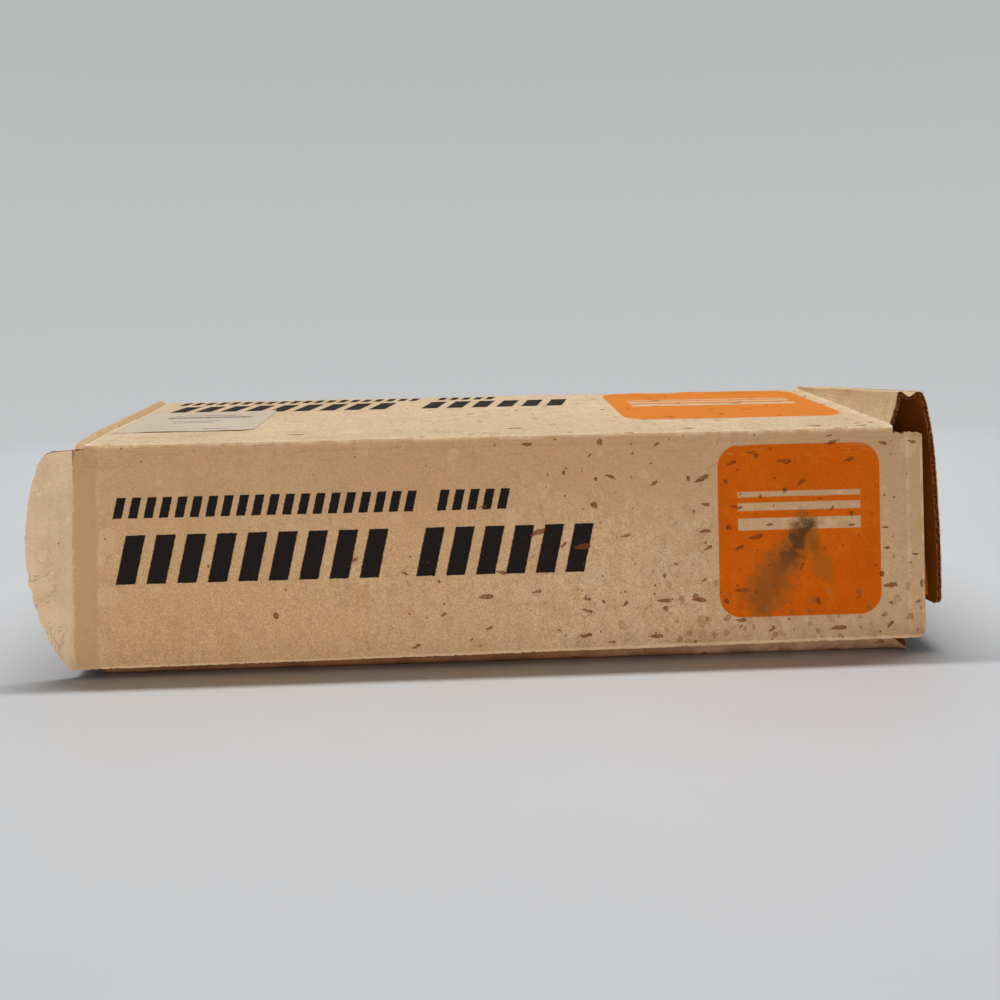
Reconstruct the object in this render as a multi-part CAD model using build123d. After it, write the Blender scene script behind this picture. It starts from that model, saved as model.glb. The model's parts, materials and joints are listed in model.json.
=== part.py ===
from build123d import *
import math
import os

# Electric carving knife in its corrugated carton. Millimetres.
# +X runs along the carton, +Y goes away from the printed front, +Z is up.
# The origin is the centre of the carton's base.

# Carton; it is as large as what it holds asks for
board = 2.0
headroom = 16.6
lead_space = 38.0
fold_gap = 0.3
front_foot_left = 3.0
front_foot_right = 5.4
front_corner_radius = 3.0
glue_tab_height = 30.0
glue_tab_end_gap = 7.0
glue_tab_flap_gap = 1.0
shoulder_width = 5.0
shoulder_rise = 1.6
shoulder_drop = 2.6
label_shoulder_gap = 3.0
label_front_gap = 26.0
label_length = 58.0
label_width = 56.0
label_cut = 4.0
label_thickness = 0.3

# Dust flaps
flap_reach = 19.2
flap_low_reach = 5.3
flap_high_reach = 9.2
flap_low_rise = 6.8
flap_high_fall = 0.9
flap_middle_share = 0.55
flap_top_fall = 2.2
flap_foot = 1.6
flap_swing_deg = 4.0
folded_flap_foot = 7.0
folded_flap_top_fall = 3.5

# Left closure, shut
closure_side_gap = 0.6
closure_foot = 4.2
left_tuck_reach = 10.0
tuck_side_inset = 7.0

# Right closure, hanging open
crease_inset = 12.3
riser_front = 14.0
riser_back = 1.5
riser_lean_deg = 74.0
valley_front = 3.0
valley_back = 0.5
bridge_sag = 0.5
hang_gap = 0.2
closure_drop = 88.0
closure_splay_deg = 3.8
closure_corner = 3.0
right_tuck_reach = 16.0

# Inner tray
tray_left_gap = 15.0
tray_height = 48.0
tray_side_gap = 0.5
handle_side_gap = 8.7
divider_handle_gap = 5.5
divider_guard_gap = 10.0
divider_height = 40.0
cradle_height = 40.0
cradle_gap = 0.4
rear_cradle_at = 24.0
front_cradle_from_trigger = 8.0

# Handle housing; u runs forward from its rear end, v up, w to the left of its middle plane
handle_set_back = 5.0
handle_floor_gap = 2.3
shell_wall = 2.2
shell_corner = 7.0
shell_edge = 6.0
profile_shares = [
    (0.0, 0.82), (0.0, 0.21), (0.09, 0.15), (0.78, 0.15), (0.87, 0.0), (0.94, 0.0),
    (1.0, 0.30), (1.0, 0.73), (0.91, 0.94), (0.67, 1.0), (0.13, 0.955),
]
grip_bottom_share = 0.15
axis_height_share = 0.515
vent_from_stator = 3.0
vent_count = 5
vent_spacing = 5.0
vent_width = 2.2
vent_height = 18.0
boss_radius = 3.5
boss_side_gap = 1.5
boss_deep_gap = 3.9
guard_boss_gap = 6.3
top_boss_from_wheel = 29.0
screw_radius = 1.5
screw_clearance = 0.2
screw_head_radius = 3.0
screw_head_height = 2.0
screw_recess = 3.0
screw_reach = 12.0
nose_opening_width = 20.0
nose_opening_height = 13.0
nose_plate_thickness = 2.0
nose_plate_border = 4.0

# Appliance inlet
inlet_width = 21.0
inlet_height = 15.0
inlet_depth = 18.0
inlet_wall = 1.6
inlet_floor = 4.0
inlet_pin_radius = 1.6
inlet_pin_spacing = 12.7
inlet_pin_recess = 4.0
inlet_fit = 0.3

# Motor
shaft_v = 2.0
shaft_radius = 2.5
shaft_inlet_gap = 3.0
shaft_overhang = 1.0
part_gap = 2.0
running_gap = 0.05
bearing_radius = 7.0
bearing_length = 5.0
bracket_thickness = 5.5
bracket_height = 38.0
commutator_gap = 8.5
commutator_length = 10.0
commutator_radius = 8.0
commutator_bars = 12
bar_slot = 0.6
armature_length = 30.0
armature_radius = 12.5
armature_slots = 8
armature_slot_width = 2.4
armature_slot_depth = 3.0
winding_radius = 9.3
winding_overhang = 5.0
stator_width = 39.0
stator_height = 41.0
stator_side_gap = 0.8
stator_floor_gap = 3.4
air_gap = 0.6
coil_low = 13.9
coil_high = 17.2
coil_inner = 10.6
coil_outer = 15.0
coil_fit = 0.3
coil_overhang = 5.0
fan_gap = 3.0
fan_length = 7.5
fan_radius = 16.0
fan_hub_radius = 5.0
fan_disc = 1.5
fan_vane_count = 8
fan_vane_thickness = 1.2
brush_width = 4.0
brush_length = 7.0
brush_holder_wall = 1.0
brush_holder_start = 9.6
brush_shell_gap = 0.7
brush_spring_radius = 1.6

# Gear train and blade carriers
worm_length = 16.0
worm_radius = 3.5
worm_groove = 0.7
worm_spacing = 3.2
wheel_radius = 10.5
wheel_teeth = 20
wheel_tooth_depth = 2.0
wheel_thickness = 6.0
wheel_mesh_gap = 0.3
axle_radius = 2.0
crank_throw = 3.5
crank_pin_radius = 1.5
crank_pin_length = 5.0
carrier_offset = 5.3
carrier_thickness = 2.5
carrier_travel = 3.5
carrier_frame = 2.2
carrier_gap = 0.3
carrier_end_gap = 0.5
carrier_bar_height = 10.0
carrier_arm_run = 31.0
carrier_lead = 1.5
socket_guide_gap = 2.5
socket_nose_gap = 3.5
socket_length = 28.0
socket_inner = 0.6
tang_socket_wall = 0.9
tang_socket_width = 1.6
tang_socket_margin = 1.6
tang_socket_depth = 24.0
guide_length = 16.0
guide_width = 22.0
guide_low = -9.0
guide_high = 12.0
guide_gap = 0.1

# Trigger, switch, lock and blade release
button_gap = 0.4
trigger_length = 40.0
trigger_width = 12.0
trigger_rest = 3.5
trigger_flange = 2.0
trigger_lip = 2.5
trigger_edge = 1.5
trigger_travel = 3.5
switch_from_trigger = 4.0
switch_length = 28.0
switch_width = 16.0
switch_height = 9.0
switch_terminal = 3.0
spring_radius = 2.5
spring_wire = 0.7
spring_from_switch = 6.0
spring_solid = 1.0
lock_from_stator_middle = 4.0
lock_length = 8.0
lock_width = 6.0
lock_cap_lip = 2.0
lock_cap_height = 2.6
lock_flange = 1.8
lock_travel = 6.0
release_length = 12.0
release_width = 9.0
release_flange = 2.0
release_travel = 3.0

# Blades and their guard
blade_total = 270.0
tang_length = 62.0
tang_width = 10.0
tang_notch_radius = 1.6
tang_notch_at = 9.0
blade_width = 22.0
blade_thickness = 1.2
blade_slide_gap = 0.15
blade_travel = 3.0
tip_length = 26.0
tip_width = 7.0
scallop_radius = 3.6
scallop_spacing = 6.4
scallop_depth = 1.1
rivet_radius = 1.5
rivet_head_radius = 3.0
rivet_head_height = 0.7
rivet_from_tip = 13.0
guard_wall = 1.2
guard_gap = 0.4
guard_end_gap = 2.0
guard_side_gap = 5.2
guard_width = 30.0
blade_end_gap = 3.5

# Places along the handle, in the order of the drive, from the inlet to the nose
shaft_start = inlet_depth + shaft_inlet_gap
rear_bracket_at = shaft_start + shaft_overhang
commutator_at = rear_bracket_at + bracket_thickness + commutator_gap
armature_at = commutator_at + commutator_length + part_gap + winding_overhang
stator_end = armature_at + armature_length
fan_at = stator_end + winding_overhang + part_gap
front_bracket_at = fan_at + fan_length + fan_gap
front_bracket_end = front_bracket_at + bracket_thickness
window_half = crank_throw + carrier_travel + crank_pin_radius + carrier_gap
window_tall = crank_throw + crank_pin_radius + carrier_gap
wheel_at = front_bracket_end + carrier_end_gap + carrier_travel + window_half + carrier_frame
worm_at = wheel_at - worm_length / 2
shaft_end = worm_at + worm_length + part_gap
carrier_bar_at = wheel_at + window_half + carrier_frame + carrier_arm_run
guide_at = carrier_bar_at + carrier_travel + carrier_lead
release_at = guide_at + (guide_length - release_length) / 2
socket_at = guide_at + guide_length + carrier_travel + socket_guide_gap
handle_length = socket_at + socket_length + carrier_travel + socket_nose_gap
low_boss_at = front_bracket_end + boss_radius + boss_side_gap
trigger_at = low_boss_at + boss_radius + trigger_lip + part_gap / 2
switch_at = trigger_at + switch_from_trigger
trigger_spring_at = switch_at + spring_from_switch
front_cradle_at = trigger_at - front_cradle_from_trigger - board
lock_at = armature_at + armature_length / 2 + lock_from_stator_middle
vent_at = stator_end + vent_from_stator

# The handle's height and width, from the motor that it holds
grip_depth = stator_height / 2 - shaft_v + stator_floor_gap + shell_wall
handle_height = grip_depth / (axis_height_share - grip_bottom_share)
handle_width = stator_width + (stator_side_gap + shell_wall) * 2
bracket_width = stator_width
brush_holder_end = stator_width / 2 + stator_side_gap - brush_shell_gap

# The tray and the carton, from what they hold
tray_inner_length = blade_total + (blade_end_gap + guard_end_gap) * 2
tray_length = tray_inner_length + board * 2
guard_bay = guard_side_gap + guard_width + divider_guard_gap
handle_bay = divider_handle_gap + handle_width + handle_side_gap
tray_inner_depth = guard_bay + board + handle_bay
tray_half_depth = tray_inner_depth / 2 + board
inner_half_depth = tray_half_depth + tray_side_gap + board + fold_gap
half_depth = inner_half_depth + board
half_length = (board + tray_left_gap + tray_length + lead_space) / 2
tray_z0 = board + fold_gap
tray_floor_z = tray_z0 + board
handle_bottom_z = tray_floor_z + handle_floor_gap
under_top = handle_bottom_z + handle_height + headroom
carton_height = under_top + board
crease_x = half_length - crease_inset
label_x = -half_length + shoulder_width + label_shoulder_gap
label_y = -half_depth + label_front_gap
tray_x0 = -half_length + board + tray_left_gap
tray_x1 = tray_x0 + tray_length
handle_x = (tray_x0 + tray_x1 - handle_length) / 2 - handle_set_back
handle_middle_y = tray_half_depth - board - handle_side_gap - handle_width / 2
handle_z = handle_bottom_z + handle_height * axis_height_share
grip_bottom_z = handle_bottom_z + handle_height * grip_bottom_share
divider_y = handle_middle_y - handle_width / 2 - divider_handle_gap - board
guard_y = -tray_half_depth + board + guard_side_gap


def block(x0, x1, y0, y1, z0, z1):
    """A box between two corners."""
    size = Box(x1 - x0, y1 - y0, z1 - z0)
    return Pos((x0 + x1) / 2, (y0 + y1) / 2, (z0 + z1) / 2) * size


def rod_x(x0, x1, y, z, radius):
    """A round bar along X."""
    return extrude(Plane.YZ.offset(x0) * Pos(y, z) * Circle(radius), amount=x1 - x0)


def rod_y(y0, y1, x, z, radius):
    """A round bar along Y."""
    return extrude(Plane.XZ.offset(-y1) * Pos(x, z) * Circle(radius), amount=y1 - y0)


def rod_z(z0, z1, x, y, radius):
    """A round bar along Z."""
    return extrude(Pos(x, y, z0) * Circle(radius), amount=z1 - z0)


def prism_y(points, y0, y1):
    """An outline given in X and Z, drawn out along Y."""
    outline = Polygon(*points, align=None)
    return extrude(Plane.XZ.offset(-y1) * outline, amount=y1 - y0)


def prism_z(points, z0, z1):
    """An outline given in X and Y, drawn out along Z."""
    return extrude(Pos(0, 0, z0) * Polygon(*points, align=None), amount=z1 - z0)


def slanted_prism(front, back, y0, y1):
    """A strip whose section in X and Z changes from the front outline to the back one."""
    sections = [
        make_face(Plane.XZ.offset(-y) * Polyline(*points, close=True))
        for points, y in ((front, y0), (back, y1))
    ]
    return loft(sections, ruled=True)


def tube_z(z0, z1, x, y, radius, wall):
    """A round sleeve along Z."""
    return rod_z(z0, z1, x, y, radius) - rod_z(z0, z1, x, y, radius - wall)


# Carton panels
def front_panel():
    """The printed front, whose cut lower edge runs a little askew."""
    points = [
        (-half_length, front_foot_left),
        (half_length, front_foot_right),
        (half_length, under_top),
        (-half_length, under_top),
    ]
    panel = prism_y(points, -half_depth, -inner_half_depth)
    corner = panel.edges().filter_by(Axis.Y).sort_by(Axis.X)[-2:].sort_by(Axis.Z)[0]
    return fillet(corner, front_corner_radius)


def top_panel():
    """The top, from the left shoulder to the crease where the right closure bends up."""
    left = -half_length + shoulder_width
    return block(left, crease_x, -half_depth, half_depth, under_top, carton_height)


def back_panel():
    """The plain back."""
    return block(-half_length, half_length, inner_half_depth, half_depth, 0, under_top)


def bottom_panel():
    """The base, which stops behind the front panel."""
    return block(-half_length, half_length, -inner_half_depth, inner_half_depth, 0, board)


def glue_tab():
    """The base's tab, glued up inside the front panel."""
    left = -half_length + glue_tab_end_gap
    right = half_length - glue_tab_end_gap
    beside_flap = half_length - fold_gap - flap_reach - glue_tab_flap_gap
    step_z = folded_flap_foot - fold_gap
    points = [
        (left, board),
        (right, board),
        (right, step_z),
        (beside_flap, step_z),
        (beside_flap, glue_tab_height),
        (left, glue_tab_height),
    ]
    return prism_y(points, -inner_half_depth, -inner_half_depth + board)


def left_shoulder():
    """The rolled strip between the top's two left creases."""
    inner_x = -half_length + shoulder_width
    middle_x = -half_length + shoulder_width / 2
    outer_z = carton_height - shoulder_drop
    points = [
        (inner_x, under_top),
        (inner_x, carton_height),
        (middle_x, carton_height + shoulder_rise),
        (-half_length, outer_z + fold_gap),
        (-half_length + board, outer_z + fold_gap),
    ]
    return prism_y(points, -inner_half_depth + closure_side_gap, inner_half_depth - closure_side_gap)


def paper_label():
    """The label on the top, with one corner cut off."""
    points = [
        (label_x, label_y),
        (label_x + label_length - label_cut, label_y),
        (label_x + label_length, label_y + label_cut),
        (label_x + label_length, label_y + label_width),
        (label_x, label_y + label_width),
    ]
    return prism_z(points, carton_height, carton_height + label_thickness)


def dust_flap(foot, top):
    """A rounded flap with its crease at x = 0, reaching towards -X, one board thick towards +Y."""
    low = (-flap_low_reach, foot + flap_low_rise)
    high = (-flap_high_reach, top - flap_high_fall)
    bulge = (-flap_reach, foot + (top - foot) * flap_middle_share)
    edge = Line((0, foot), low) + ThreePointArc(low, bulge, high)
    edge += Line(high, (0, top)) + Line((0, top), (0, foot))
    return extrude(Plane.XZ * make_face(edge), amount=-board)


def left_front_dust_flap():
    """The flap that stands out from the front's left crease."""
    flap = dust_flap(flap_foot, carton_height - flap_top_fall)
    return Pos(-half_length - fold_gap, -half_depth, 0) * Rot(0, 0, flap_swing_deg) * flap


def left_back_dust_flap():
    """The back's left flap, folded in behind the shut closure."""
    flap = dust_flap(folded_flap_foot, under_top - folded_flap_top_fall)
    inner_face = -half_length + board * 2 + fold_gap
    return Pos(inner_face, inner_half_depth - fold_gap, 0) * Rot(0, 0, 90) * flap


def right_front_dust_flap():
    """The front's right flap, folded flat against the inside."""
    flap = dust_flap(folded_flap_foot, under_top - folded_flap_top_fall)
    return Pos(half_length - fold_gap, -inner_half_depth + fold_gap, 0) * flap


def right_back_dust_flap():
    """The back's right flap, folded flat against the inside."""
    return mirror(right_front_dust_flap(), about=Plane.XZ)


# Left closure
closure_half_depth = inner_half_depth - closure_side_gap
left_hinge_z = carton_height - shoulder_drop


def left_closure():
    """The shut closure, between the front and the back."""
    inner = -half_length + board
    return block(-half_length, inner, -closure_half_depth, closure_half_depth, closure_foot, left_hinge_z)


def left_tuck_tab():
    """The closure's tab, tucked in over the base."""
    inner = -half_length + board
    half = closure_half_depth - tuck_side_inset
    return block(inner, inner + left_tuck_reach, -half, half, closure_foot, closure_foot + board)


# Right closure: the riser, the double crease and the hanging panel
lean = math.radians(riser_lean_deg)
ridge_x = half_length + hang_gap
ridge_front_z = carton_height + riser_front * math.sin(lean)
ridge_back_z = carton_height + riser_back * math.sin(lean)


def riser_top(width):
    """The outer point of the riser's upper edge, where it is as wide as this."""
    return crease_x + width * math.cos(lean), carton_height + width * math.sin(lean)


def right_riser():
    """The wedge that is bent up along the crease."""

    def section(width):
        start = min(fold_gap, width / 2)
        low_x = crease_x + start * math.cos(lean)
        low_z = carton_height + start * math.sin(lean)
        high_x, high_z = riser_top(width)
        across_x = board * math.sin(lean)
        across_z = -board * math.cos(lean)
        return [
            (low_x, low_z),
            (high_x, high_z),
            (high_x + across_x, high_z + across_z),
            (low_x + across_x, low_z + across_z),
        ]

    return slanted_prism(section(riser_front), section(riser_back), -closure_half_depth, closure_half_depth)


def right_bridge():
    """The double crease, sunk between its two ridges."""

    def section(width, valley):
        left_x, left_z = riser_top(width)
        left_x += board * math.sin(lean)
        left_z -= board * math.cos(lean)
        right_x = ridge_x - fold_gap
        right_z = left_z - bridge_sag
        middle_x = (left_x + right_x) / 2
        return [
            (left_x, left_z),
            (middle_x, left_z - valley),
            (right_x, right_z),
            (right_x, right_z - board),
            (middle_x, left_z - valley - board),
            (left_x, left_z - board),
        ]

    front = section(riser_front, valley_front)
    back = section(riser_back, valley_back)
    return slanted_prism(front, back, -closure_half_depth, closure_half_depth)


splay = math.radians(closure_splay_deg)


def hanging_section(ridge_z, start, reach, depth_in, depth_out):
    """A strip of the hanging panel's section, from start to reach down it."""
    corners = ((start, depth_in), (start, depth_out), (reach, depth_out), (reach, depth_in))
    return [
        (
            ridge_x + along * math.sin(splay) + across * math.cos(splay),
            ridge_z - along * math.cos(splay) + across * math.sin(splay),
        )
        for along, across in corners
    ]


def right_closure():
    """The closure, hanging a little splayed from the outer ridge."""
    front = hanging_section(ridge_front_z, 0, closure_drop, 0, board)
    back = hanging_section(ridge_back_z, 0, closure_drop, 0, board)
    panel = slanted_prism(front, back, -closure_half_depth, closure_half_depth)
    long_edges = panel.edges().filter_by(lambda edge: abs(edge.length - board) < board / 10)
    corners = long_edges.sort_by(Axis.Z)[:2]
    return chamfer(corners, closure_corner)


def right_tuck_tab():
    """The right closure's tab, folded back flat inside it."""
    start = closure_drop - right_tuck_reach - closure_corner
    reach = closure_drop - closure_corner
    half = closure_half_depth - tuck_side_inset
    slope = (ridge_front_z - ridge_back_z) / (closure_half_depth * 2)
    middle_z = (ridge_front_z + ridge_back_z) / 2
    inner = -fold_gap - board
    front = hanging_section(middle_z + slope * half, start, reach, inner, -fold_gap)
    back = hanging_section(middle_z - slope * half, start, reach, inner, -fold_gap)
    return slanted_prism(front, back, -half, half)


# Tray and what holds the handle
def inner_tray():
    """The open corrugated tray that slides in the carton."""
    outer = block(tray_x0, tray_x1, -tray_half_depth, tray_half_depth, tray_z0, tray_z0 + tray_height)
    half = tray_half_depth - board
    inside = block(tray_x0 + board, tray_x1 - board, -half, half, tray_floor_z, tray_z0 + tray_height)
    return outer - inside


def tray_divider():
    """The wall between the blades and the handle."""
    top = tray_floor_z + divider_height
    return block(tray_x0 + board, tray_x1 - board, divider_y, divider_y + board, tray_floor_z, top)


def cradle(at):
    """A notched support that the handle stands in."""
    x = handle_x + at
    low_y = divider_y + board
    high_y = tray_half_depth - board
    plate = block(x, x + board, low_y, high_y, tray_floor_z, tray_floor_z + cradle_height)
    half = handle_width / 2 + cradle_gap
    notch_z = grip_bottom_z - cradle_gap
    top = tray_floor_z + cradle_height
    notch = block(x, x + board, handle_middle_y - half, handle_middle_y + half, notch_z, top)
    return plate - notch


# Handle housing
def hx(u):
    """The X of a point this far forward of the handle's rear end."""
    return handle_x + u


def hz(v):
    """The Z of a point this far above the handle's axis."""
    return handle_z + v


def hblock(u0, u1, w0, w1, v0, v1):
    """A box in the handle's own directions."""
    return block(hx(u0), hx(u1), handle_middle_y + w0, handle_middle_y + w1, hz(v0), hz(v1))


def hrod(u0, u1, v, w, radius):
    """A round bar along the handle."""
    return rod_x(hx(u0), hx(u1), handle_middle_y + w, hz(v), radius)


def crossrod(u, v, w0, w1, radius):
    """A round bar across the handle."""
    return rod_y(handle_middle_y + w0, handle_middle_y + w1, hx(u), hz(v), radius)


def handle_outline():
    """The handle's side view, with rounded corners."""
    points = [(hx(a * handle_length), handle_bottom_z + b * handle_height) for a, b in profile_shares]
    outline = Polygon(*points, align=None)
    return fillet(outline.vertices(), shell_corner)


outline = handle_outline()
hollow_outline = offset(outline, -shell_wall)
half_width = handle_width / 2
inner_half_width = half_width - shell_wall
grip_inner_v = -grip_depth + shell_wall
top_v = handle_height * (1 - axis_height_share)
bottom_v = -handle_height * axis_height_share


def side_slab(face, w0, w1):
    """An outline of the handle's side view, drawn out across it."""
    return extrude(Plane.XZ.offset(-handle_middle_y - w1) * face, amount=w1 - w0)


def surface_v(u):
    """The height of the handle's top surface above its axis, over the flat stretch."""
    (a2, b2), (a1, b1), (a0, b0) = profile_shares[-3:]
    share = u / handle_length
    if share < a1:
        high = b0 + (b1 - b0) * (share - a0) / (a1 - a0)
    else:
        high = b1 + (b2 - b1) * (share - a1) / (a2 - a1)
    return (high - axis_height_share) * handle_height


def finger_guard_middle():
    """How far forward the middle of the finger guard's foot is."""
    guard_shares = [a for a, b in profile_shares if b == 0]
    return handle_length * sum(guard_shares) / len(guard_shares)


boss_places = [
    (inlet_depth - boss_radius - boss_side_gap, inlet_height / 2 + boss_radius * 2 - button_gap),
    (low_boss_at, grip_inner_v + boss_radius + boss_deep_gap),
    (finger_guard_middle(), bottom_v + shell_wall + boss_radius + guard_boss_gap),
    (wheel_at + top_boss_from_wheel, top_v - shell_wall - boss_radius - boss_side_gap),
]


def openings():
    """What is cut through both shells: the inlet, the nose, the trigger, the lock and the release."""
    half_inlet = inlet_width / 2 + inlet_fit
    tall_inlet = inlet_height / 2 + inlet_fit
    cuts = hblock(-shell_wall, shell_wall * 2, -half_inlet, half_inlet, -tall_inlet, tall_inlet)
    half_nose = nose_opening_width / 2
    tall_nose = nose_opening_height / 2
    front = handle_length + shell_wall
    cuts += hblock(handle_length - shell_wall * 2, front, -half_nose, half_nose, -tall_nose, tall_nose)
    low = grip_inner_v - shell_wall * 2
    cuts += hblock(
        trigger_at - button_gap, trigger_at + trigger_length + button_gap,
        -trigger_width / 2 - button_gap, trigger_width / 2 + button_gap, low, grip_inner_v + shell_wall,
    )
    lock_low = surface_v(lock_at) - shell_wall * 2
    cuts += hblock(
        lock_at - button_gap, lock_at + lock_length + lock_travel + button_gap,
        -lock_width / 2 - button_gap, lock_width / 2 + button_gap, lock_low, top_v + shell_wall,
    )
    release_low = surface_v(release_at + release_length) - shell_wall * 2
    cuts += hblock(
        release_at - button_gap, release_at + release_length + button_gap,
        -release_width / 2 - button_gap, release_width / 2 + button_gap, release_low, top_v + shell_wall,
    )
    return cuts


def vents(side):
    """The row of cooling slots in one shell's side."""
    outer = side * (half_width + shell_wall)
    inner = side * (inner_half_width - shell_wall)
    slots = []
    for number in range(vent_count):
        u = vent_at + number * vent_spacing
        low, high = sorted((inner, outer))
        half = vent_height / 2
        slots.append(hblock(u, u + vent_width, low, high, shaft_v - half, shaft_v + half))
    return slots


cuts = openings()


def shell(side):
    """One half of the housing; side is 1 for the left half and -1 for the right half."""
    low, high = sorted((0, side * half_width))
    body = side_slab(outline, low, high)
    rim = body.faces().sort_by(Axis.Y)[-1 if side > 0 else 0].edges()
    body = fillet(rim, shell_edge)
    low, high = sorted((0, side * inner_half_width))
    body -= side_slab(hollow_outline, low, high)
    body -= cuts
    for slot in vents(side):
        body -= slot
    for u, v in boss_places:
        low, high = sorted((0, side * (inner_half_width + shell_wall / 2)))
        body += crossrod(u, v, low, high, boss_radius)
    for u, v in boss_places:
        if side > 0:
            body -= crossrod(u, v, 0, half_width + shell_wall, screw_radius + screw_clearance)
            recess = screw_head_radius + screw_clearance
            body -= crossrod(u, v, half_width - screw_recess, half_width + shell_wall, recess)
        else:
            body -= crossrod(u, v, -screw_reach - screw_recess, 0, screw_radius)
    return body


def housing_screws():
    """The screws that close the housing, put in from the left."""
    screws = []
    head_w = half_width - screw_recess
    for u, v in boss_places:
        screw = crossrod(u, v, -screw_reach, head_w, screw_radius)
        screw += crossrod(u, v, head_w, head_w + screw_head_height, screw_head_radius)
        screws.append(screw)
    return Compound(children=screws)


def nose_plate():
    """The trim plate round the blade opening."""
    wide = nose_opening_width / 2 + nose_plate_border
    tall = nose_opening_height / 2 + nose_plate_border
    front = handle_length + nose_plate_thickness
    plate = hblock(handle_length, front, -wide, wide, -tall, tall)
    plate = fillet(plate.edges().filter_by(Axis.X), nose_plate_border)
    half = nose_opening_width / 2
    tall = nose_opening_height / 2
    return plate - hblock(handle_length, front, -half, half, -tall, tall)


def inlet_housing():
    """The recessed inlet at the handle's rear end."""
    wide = inlet_width / 2
    tall = inlet_height / 2
    body = hblock(0, inlet_depth, -wide, wide, -tall, tall)
    body -= hblock(
        0, inlet_depth - inlet_floor,
        inlet_wall - wide, wide - inlet_wall, inlet_wall - tall, tall - inlet_wall,
    )
    for side in (-1, 1):
        w = side * inlet_pin_spacing / 2
        body -= hrod(inlet_depth - inlet_floor, inlet_depth, 0, w, inlet_pin_radius)
    return body


def inlet_pins():
    """The inlet's two contact pins."""
    pins = [
        hrod(inlet_pin_recess, inlet_depth + board, 0, side * inlet_pin_spacing / 2, inlet_pin_radius)
        for side in (-1, 1)
    ]
    return Compound(children=pins)


# Motor
def bearing_bracket(at):
    """A plate across the housing that holds one bearing."""
    half = bracket_width / 2
    tall = bracket_height / 2
    low = shaft_v - tall
    plate = hblock(at, at + bracket_thickness, -half, half, low, shaft_v + tall)
    return plate - hrod(at, at + bracket_thickness, shaft_v, 0, bearing_radius)


def bearing(at):
    """A plain bearing for the motor shaft."""
    ring = hrod(at, at + bearing_length, shaft_v, 0, bearing_radius)
    return ring - hrod(at, at + bearing_length, shaft_v, 0, shaft_radius + running_gap)


def motor_shaft():
    """The shaft that carries the armature, the fan and the worm."""
    return hrod(shaft_start, shaft_end, shaft_v, 0, shaft_radius)


def on_shaft(at, length, radius):
    """A ring that fits the motor shaft."""
    return hrod(at, at + length, shaft_v, 0, radius) - hrod(at, at + length, shaft_v, 0, shaft_radius)


def about_shaft(piece, count):
    """Copies of a piece, turned about the motor shaft."""
    centre = Pos(0, handle_middle_y, hz(shaft_v))
    return [centre * Rot(360 * number / count, 0, 0) * centre.inverse() * piece for number in range(count)]


def commutator():
    """The slotted copper ring that the brushes bear on."""
    ring = on_shaft(commutator_at, commutator_length, commutator_radius)
    end = commutator_at + commutator_length
    top = shaft_v + commutator_radius
    slot = hblock(commutator_at, end, -bar_slot / 2, bar_slot / 2, top - bar_slot, top + bar_slot)
    for copy in about_shaft(slot, commutator_bars):
        ring -= copy
    return ring


def armature_core():
    """The armature's slotted lamination stack."""
    core = on_shaft(armature_at, armature_length, armature_radius)
    end = armature_at + armature_length
    top = shaft_v + armature_radius
    half = armature_slot_width / 2
    slot = hblock(armature_at, end, -half, half, top - armature_slot_depth, top + armature_slot_depth)
    for copy in about_shaft(slot, armature_slots):
        core -= copy
    return core


def armature_winding():
    """The two end heads of the armature's winding."""
    rear = on_shaft(armature_at - winding_overhang, winding_overhang, winding_radius)
    front = on_shaft(armature_at + armature_length, winding_overhang, winding_radius)
    return Compound(children=[rear, front])


def stator_core():
    """The stator's lamination stack, with its bore and coil windows."""
    end = armature_at + armature_length
    half = stator_width / 2
    tall = stator_height / 2
    core = hblock(armature_at, end, -half, half, shaft_v - tall, shaft_v + tall)
    core -= hrod(armature_at, end, shaft_v, 0, armature_radius + air_gap)
    for side in (-1, 1):
        for up in (-1, 1):
            w0, w1 = sorted((side * (coil_inner - coil_fit), side * (coil_outer + coil_fit)))
            v0, v1 = sorted((up * (coil_low - coil_fit), up * (coil_high + coil_fit)))
            core -= hblock(armature_at, end, w0, w1, shaft_v + v0, shaft_v + v1)
    return core


def field_coils():
    """The two field coils, each round one pole."""
    coils = []
    start = armature_at - coil_overhang
    end = armature_at + armature_length + coil_overhang
    for up in (-1, 1):
        v0, v1 = sorted((up * coil_low, up * coil_high))
        outer = hblock(start, end, -coil_outer, coil_outer, shaft_v + v0, shaft_v + v1)
        inner = hblock(
            armature_at - coil_fit, armature_at + armature_length + coil_fit,
            -coil_inner, coil_inner, shaft_v + v0, shaft_v + v1,
        )
        coils.append(outer - inner)
    return Compound(children=coils)


def cooling_fan():
    """The fan behind the front bearing."""
    fan = on_shaft(fan_at, fan_length, fan_hub_radius) + on_shaft(fan_at, fan_disc, fan_radius)
    half = fan_vane_thickness / 2
    inner = shaft_v + fan_hub_radius - half
    vane = hblock(fan_at, fan_at + fan_length, -half, half, inner, shaft_v + fan_radius - half)
    for copy in about_shaft(vane, fan_vane_count):
        fan += copy
    return fan


def brush_pair(start, end, half, radius_cut=0):
    """Two square bars that point at the commutator from either side."""
    middle = commutator_at + commutator_length / 2
    bars = []
    for side in (-1, 1):
        w0, w1 = sorted((side * start, side * end))
        bar = hblock(middle - half, middle + half, w0, w1, shaft_v - half, shaft_v + half)
        if radius_cut:
            bar -= hrod(middle - half, middle + half, shaft_v, 0, radius_cut)
        bars.append(bar)
    return bars


def brush_holders():
    """The two square guides of the brushes."""
    half = brush_width / 2
    outer = brush_pair(brush_holder_start, brush_holder_end, half + brush_holder_wall)
    inner = brush_pair(brush_holder_start, brush_holder_end, half)
    return Compound(children=[tube - bar for tube, bar in zip(outer, inner)])


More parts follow.
